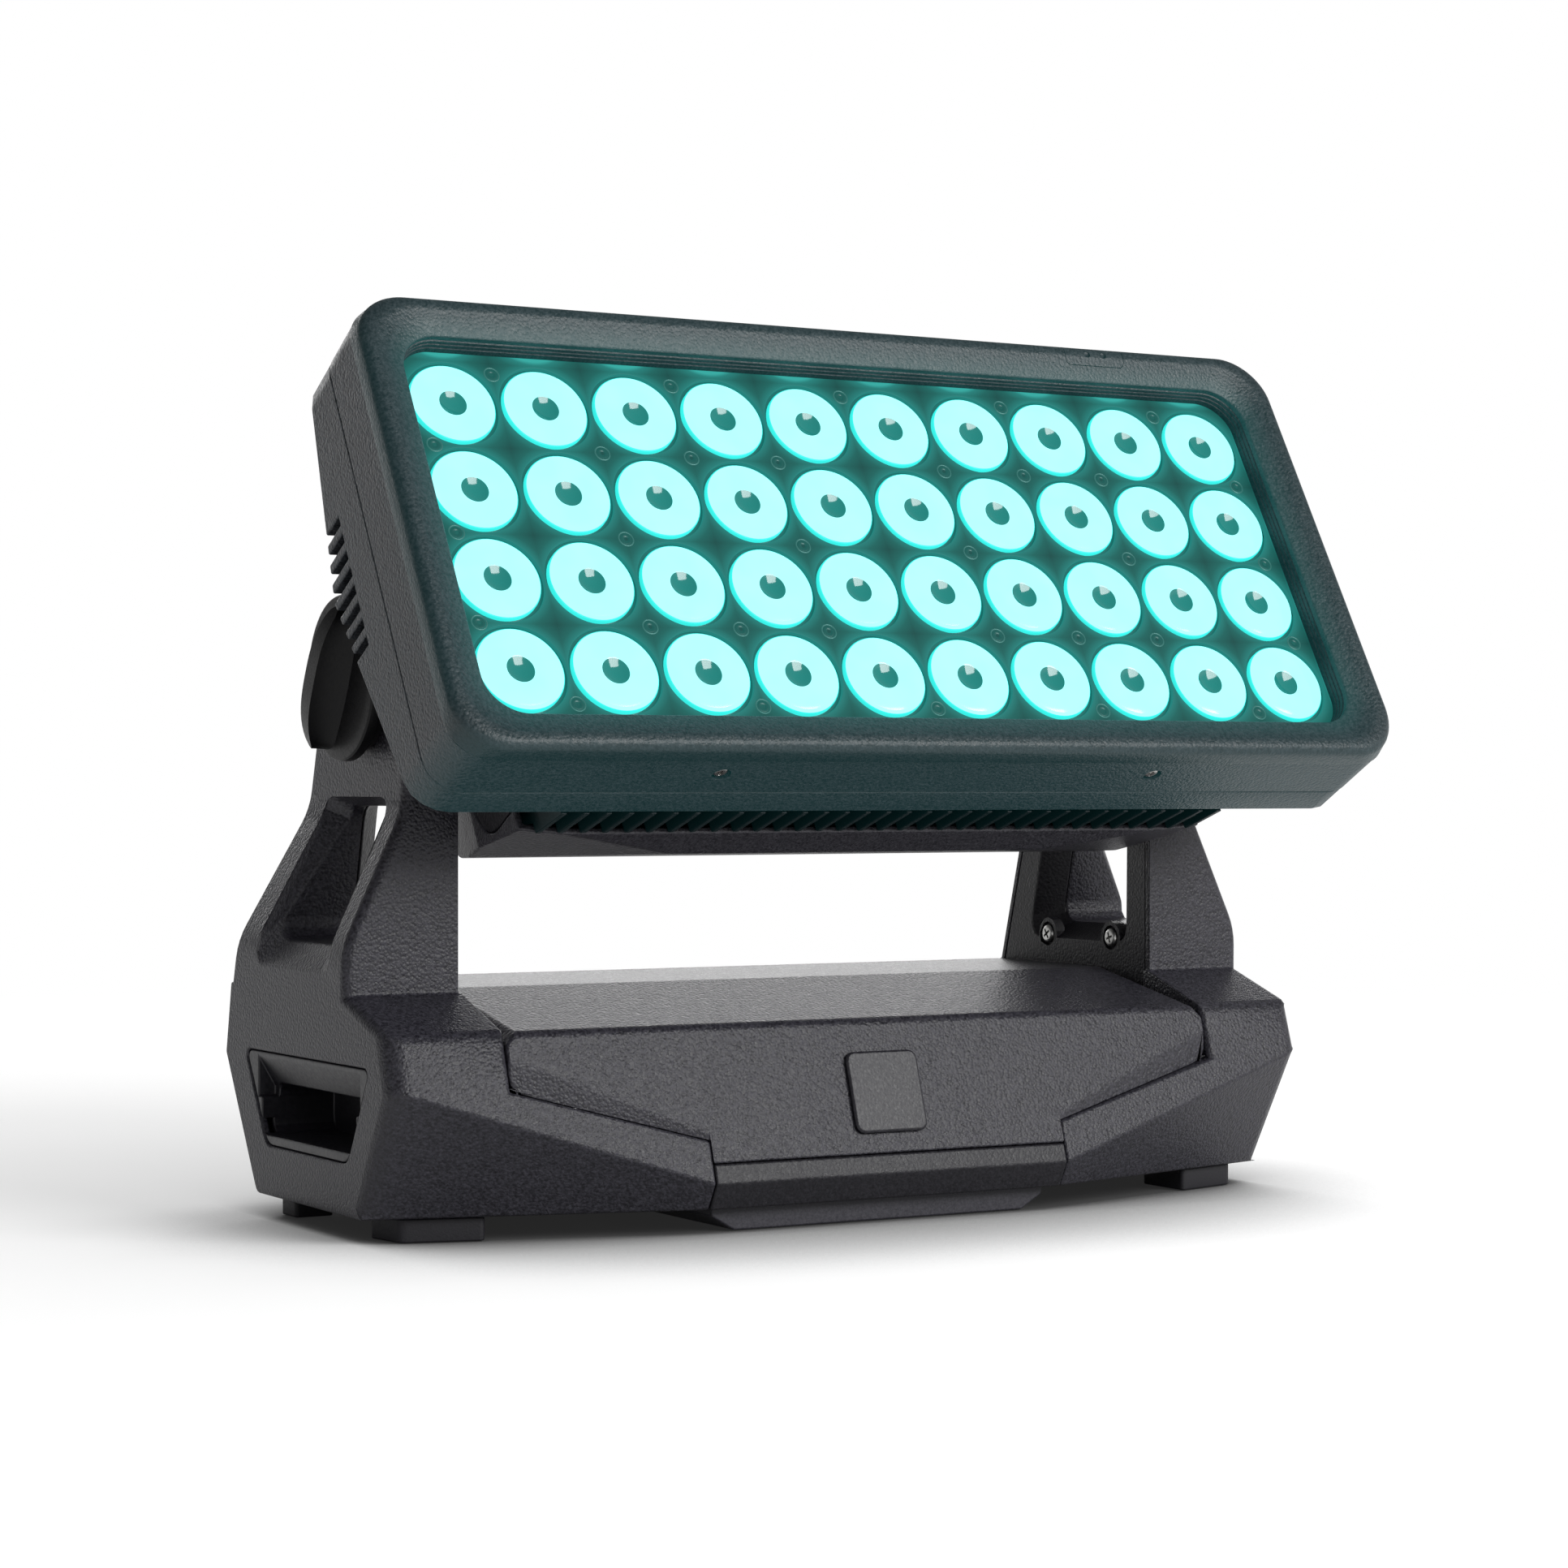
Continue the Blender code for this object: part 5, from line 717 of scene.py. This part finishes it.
for level, count, first, step in rows_of_screws:
    for profile, finish in ((ring_profile, ring_highlight), (head_profile, screw_black_glow)):
        shape = facing_front(turned([(r * MM, z * MM) for r, z in profile], 28))
        screws.append(in_a_row(shape, count, (first * PITCH, MASK_Y, level * ROW_PITCH),
                               (step * PITCH, 0, 0), finish))
mesh = merged("mask_screws", screws)
mesh.transform(HEAD)
show(linked("mask_screws", mesh), "head", "mask_plastic")


# Front bezel and mid housing. The bezel is one grained ABS frame: a rounded rim, a soft crease, a
# face that slopes in, and a stepped inner wall that the lenses light. The mid housing behind
# it shows as a band between two fine seams, with a screw in a well at each end of its underside.
OPENING_HALF, OPENING_CORNER = (214.6, 91.0), 18.0


def ring_mesh(name, loops, steps=16):
    """Frame lofted through rounded rectangles (half width, half height, corner, y), head level."""
    bm = bmesh.new()
    rings = []
    for loop in loops:
        half_width, half_height, corner, y = [value * MM for value in loop]
        rings.append([bm.verts.new((x, y, z))
                      for x, z in rounded_rectangle(half_width, half_height, corner, steps)])
    for ring, following in zip(rings, rings[1:] + rings[:1]):
        for i in range(len(ring)):
            bm.faces.new((ring[i - 1], ring[i], following[i], following[i - 1])).smooth = True
    bmesh.ops.recalc_face_normals(bm, faces=bm.faces)
    return settled_from(bm, name)


def teal_spill(material, face, strength=1.0):
    """Cyan light from the lenses: fades out from the opening's edge, weak on its wall and underneath."""
    tree = material.node_tree
    shader = tree.nodes["Principled BSDF"]
    place = place_on_head(tree)
    parts = add(tree, "ShaderNodeSeparateXYZ", {0: place})
    sides = add(tree, "ShaderNodeVectorMath", {0: place}, operation="ABSOLUTE")
    straight_x, straight_z = [(half - OPENING_CORNER) * MM for half in OPENING_HALF]
    beyond = add(tree, "ShaderNodeVectorMath", {0: sides.outputs[0], 1: (straight_x, 1.0, straight_z)},
                 operation="SUBTRACT")
    corner = add(tree, "ShaderNodeVectorMath", {0: beyond.outputs[0], 1: (0, 0, 0)}, operation="MAXIMUM")
    from_corner = add(tree, "ShaderNodeVectorMath", {0: corner.outputs[0]}, operation="LENGTH")
    nearest = add(tree, "ShaderNodeMath", {0: from_corner.outputs["Value"], 1: OPENING_CORNER * MM},
                  operation="SUBTRACT")
    outside = add(tree, "ShaderNodeMapRange", {0: nearest.outputs[0], 1: 30 * MM, 2: 0.0, 3: 0.0, 4: face})
    wall = add(tree, "ShaderNodeMapRange", {0: nearest.outputs[0], 1: 0.1 * MM, 2: -0.2 * MM,
                                            3: 0.0, 4: -0.3})
    ahead = add(tree, "ShaderNodeMapRange", {0: parts.outputs["Y"], 1: -104 * MM, 2: -112 * MM})
    bright = add(tree, "ShaderNodeMath", {0: outside.outputs[0], 1: wall.outputs[0]}, operation="ADD")
    front = add(tree, "ShaderNodeMath", {0: bright.outputs[0], 1: ahead.outputs[0]}, operation="MULTIPLY")
    under = add(tree, "ShaderNodeMapRange", {0: parts.outputs["Z"], 1: -88 * MM, 2: -107 * MM,
                                             3: 0.0, 4: 0.45})
    most = add(tree, "ShaderNodeMath", {0: front.outputs[0], 1: under.outputs[0]}, operation="MAXIMUM")
    spill = add(tree, "ShaderNodeValToRGB", {0: most.outputs[0]})
    ramp_stops(spill, [(0.0, [0, 0, 0, 1]), (0.5, [0.001, 0.021, 0.022, 1]),
                       (1.0, [0.008, 0.088, 0.082, 1])])
    tree.links.new(spill.outputs[0], shader.inputs["Emission Color"])
    shader.inputs["Emission Strength"].default_value = strength
    return material


# ABS as the covers, with the light of the lenses painted on it as a glow. The bezel's and the mid housing's
# colours are painted blue-green for that light, and the mid housing's is painted lighter than the covers
# for the light on the head's side. The lower ends of the fins catch the painted glow too.
teal_spill(anodised, 0.0, strength=0.35)
bezel_abs = teal_spill(grained("charcoal_abs_bezel", "#14171b", "#292e32", 0.42, 1.4, 0.2, 0.85), 0.72)
housing_abs = teal_spill(grained("satin_abs_mid_housing", "#1a1d21", "#3a3f44", 0.42, 1.4, 0.24, 1.0), 0.12)

RIM_HALF = (232.5, 108.7)
rim_loops = [(0.5, -115.6, 18.6), (0.12, -115.72, 18.9), (0.0, -116.1, 19.1)]
for k in range(9):
    turn = math.radians(90 * k / 8)
    rim_loops.append((4.2 - 4.2 * math.cos(turn), -122.6 - 4.2 * math.sin(turn), 23.0))
rim_loops += [(5.6, -126.8, 22.6), (6.6, -126.7, 22.3), (7.3, -126.42, 22.0), (8.6, -125.94, 21.6),
              (17.0, -122.8, 18.6), (17.5, -122.55, 18.3), (17.8, -122.2, 18.1)]
bezel_loops = [(RIM_HALF[0] - inset, RIM_HALF[1] - inset, corner, y) for inset, y, corner in rim_loops]
bezel_loops += [(*OPENING_HALF, OPENING_CORNER, -121.8), (*OPENING_HALF, OPENING_CORNER, -119.9),
                (214.1, 90.5, 17.5, -119.6), (214.1, 90.5, 17.5, -117.9),
                (213.75, 90.15, 17.2, -117.6), (213.75, 90.15, 17.2, -115.9),
                (213.4, 89.8, 16.8, -115.6), (213.4, 89.8, 16.8, -112.9), (225.9, 102.1, 9.7, -112.9),
                (225.9, 102.1, 9.7, -115.6)]


def cap_block(grow):
    """Block in the shape of the sensor cover, open above the rim."""
    bm = bmesh.new()
    low, high, foot, top, corner = 120.0 - grow, 152.0 + grow, 98.3 - grow, 120.0, 2.5 + grow
    outline = [(high, top), (low, top)]
    for centre_x, start in ((low + corner, 180), (high - corner, 270)):
        for k in range(7):
            turn = math.radians(start + 15 * k)
            outline.append((centre_x + corner * math.cos(turn), foot + corner + corner * math.sin(turn)))
    depth = -119.5 + grow
    front = [bm.verts.new((x * MM, -140 * MM, z * MM)) for x, z in outline]
    back = [bm.verts.new((x * MM, depth * MM, z * MM)) for x, z in outline]
    bm.faces.new(front)
    bm.faces.new(back[::-1])
    for i in range(len(front)):
        bm.faces.new((front[i - 1], front[i], back[i], back[i - 1]))
    bmesh.ops.recalc_face_normals(bm, faces=bm.faces)
    return settled_from(bm, "cap_block")


def on_head(mesh, sharp=24):
    """A level mesh tilted with the head, its edges sharp above an angle."""
    mesh.transform(HEAD)
    mesh.shade_smooth()
    mesh.set_sharp_from_angle(angle=math.radians(sharp))
    return mesh


frame_mesh = carved(ring_mesh("front_frame", bezel_loops), [cap_block(0.3)])
show(linked("front_frame", on_head(frame_mesh), bezel_abs), "head", "grained_plastic", "front_bezel")

ledge_y = -110.3
outer, inner, shelf = (231.2, 107.4), (227.2, 103.4), (214.2, 90.4)
band_loops = [(230.9, 107.1, 14.8, -115.3), (*outer, 15.0, -115.0), (*outer, 15.0, -89.1),
              (230.9, 107.1, 14.8, -88.8), (*inner, 11.0, -88.8), (*inner, 11.0, ledge_y + 3.8),
              (*shelf, 6.0, ledge_y + 3.8), (*shelf, 6.0, ledge_y), (*inner, 11.0, ledge_y),
              (*inner, 11.0, -115.3)]
WELL_X, WELL_Y = 107.5 * MM, -103 * MM
wells = []
for x in (-WELL_X, WELL_X):
    well = turned([(0, 2.5 * MM), (4.2 * MM, 2.5 * MM), (4.2 * MM, -0.2 * MM), (5.0 * MM, -1.0 * MM),
                   (0, -MM)], 40)
    bmesh.ops.transform(well, matrix=Matrix.Translation((x, WELL_Y, -107.4 * MM)), verts=well.verts)
    wells.append(settled_from(well, "well"))
band_mesh = carved(ring_mesh("middle_band", band_loops), wells)
show(linked("middle_band", on_head(band_mesh), housing_abs), "head", "smooth_plastic", "mid_housing")

for side, x in (("left", -WELL_X), ("right", WELL_X)):
    mesh = screw_mesh(f"well_screw_{side}", 3.3 * MM, 1.7 * MM, 1.4 * MM, 0.8 * MM)
    mesh.transform(HEAD @ Matrix.Translation((x, WELL_Y, -104.9 * MM))
                   @ Matrix.Rotation(math.pi, 4, "X"))
    show(linked(mesh.name, mesh, zinc), "head", "zinc_steel")


# Sensor cover. A small ABS cap clipped flush into the rim over the remote sensor, with two round
# dimples. A gap of 0.3 mm draws its outline.
eyes = []
for x in (132.0, 141.0):
    eye = turned([(0, 3 * MM), (1.8 * MM, 3 * MM), (1.8 * MM, 0.0), (1.6 * MM, -0.5 * MM),
                  (1.0 * MM, -0.9 * MM), (0, -MM)], 28)
    bmesh.ops.transform(facing_front(eye), matrix=Matrix.Translation((x * MM, -126.8 * MM, 103.5 * MM)),
                        verts=eye.verts)
    eyes.append(settled_from(eye, "eye"))
cap_mesh = carved(carved(ring_mesh("sensor_cap", bezel_loops), [cap_block(0)], "INTERSECT"), eyes)
show(linked("sensor_cap", on_head(cap_mesh), bezel_abs), "head", "smooth_plastic", "sensor_cover")


# Rear shell and rear cover. The wide shell closes the head behind the band, with eight slots in
# each end for air, and the narrow cover wraps the heat sink between the arms.
# The rear shell's colour is painted lighter and bluer than the covers' charcoal, for the light on the
# head's side and the lens light, and the lenses' light is painted on it as a glow.
shell_abs = teal_spill(grained("charcoal_abs_rear_shell", "#1b1e22", "#3b4045", 0.42, 1.4, 0.26, 1.0), 0.1)
show(moulding("rear_shell", "rear_head_shell", 0.8, shell_abs), "head", "grained_plastic", "rear_shell")
# The rear cover's colour is painted lighter than the base covers' charcoal, standing in for the light that
# reaches it under the head.
rear_abs = grained("charcoal_abs_rear_cover", "#2c2b31", "#4c4b51", 0.42, 1.4, 0.26, 1.0)
show(moulding("rear_cover", "narrow_rear_cover", 1.2, rear_abs), "head", "grained_plastic", "rear_cover")


# Lock knobs. Two black glass-filled nylon knobs clamp the head at its angle. Each is a stepped
# disc with a tall grip bar whose sides are hollowed for thumb and finger.
# The knobs' colour is darkened past the nylon's own black as painted shade, for the shadow they sit in.
knob_nylon = grained("black_nylon_knob", "#020203", "#050507", 0.45, 0.9, 0.06, 0.5, specular=0.2)


def knob_mesh(name):
    """Stepped disc and lofted grip bar, axis along +Z, seat at zero."""
    disc = [(6.5, 0.4), (30.6, 0.0), (31.0, 0.4), (31.0, 5.0), (33.0, 5.4), (35.2, 5.7), (35.5, 6.2),
            (35.5, 10.0), (34.9, 10.8), (34.2, 11.0), (28.0, 10.6), (0, 10.6)]
    bm = turned([(r * MM, z * MM) for r, z in disc[::-1]], 96)
    along = 24
    around = 20
    rings = []
    for i in range(along + 1):
        s = -1 + 2 * i / along
        flat_end = 1 - abs(s) ** 12
        half = 33.0 * MM * s
        tall = (8.0 + 6.5 * (1 - abs(s) ** 3.0)) * MM
        foot = (10.2 - 3.2 * abs(s) ** 2) * MM * (0.35 + 0.65 * flat_end ** 0.5)
        crown = (5.2 - 1.6 * s * s) * MM * (0.35 + 0.65 * flat_end ** 0.5)
        ring = []
        for j in range(around + 1):
            t = -1 + 2 * j / around
            down = max(0.0, (abs(t) - 0.3) / 0.7)
            waist = crown * min(1.0, abs(t) / 0.3) + (foot - crown) * down ** 2.2
            ring.append(bm.verts.new((half, math.copysign(waist, t), 10.0 * MM + tall * (1 - down))))
        rings.append(ring)
    for first, second in zip(rings, rings[1:]):
        for j in range(around):
            bm.faces.new((first[j], first[j + 1], second[j + 1], second[j])).smooth = True
        bm.faces.new((first[0], second[0], second[-1], first[-1]))
    for ring in (rings[0], rings[-1]):
        bm.faces.new(ring)
    bmesh.ops.recalc_face_normals(bm, faces=bm.faces)
    mesh = settled_from(bm, name)
    mesh.set_sharp_from_angle(angle=math.radians(35))
    return mesh


KNOB_SEAT_X = 203.5 * MM
KNOB_LEAN = math.radians(27)
for side, way in (("left", -1), ("right", 1)):
    mesh = knob_mesh(f"clamp_knob_{side}")
    mesh.transform(Matrix.Translation((way * KNOB_SEAT_X, 0, PIVOT.z))
                   @ Matrix.Rotation(KNOB_LEAN, 4, "X") @ Matrix.Rotation(math.radians(90 * way), 4, "Y"))
    show(linked(mesh.name, mesh, knob_nylon), f"knob_{side}", "knob_plastic", f"lock_knob_{side}")
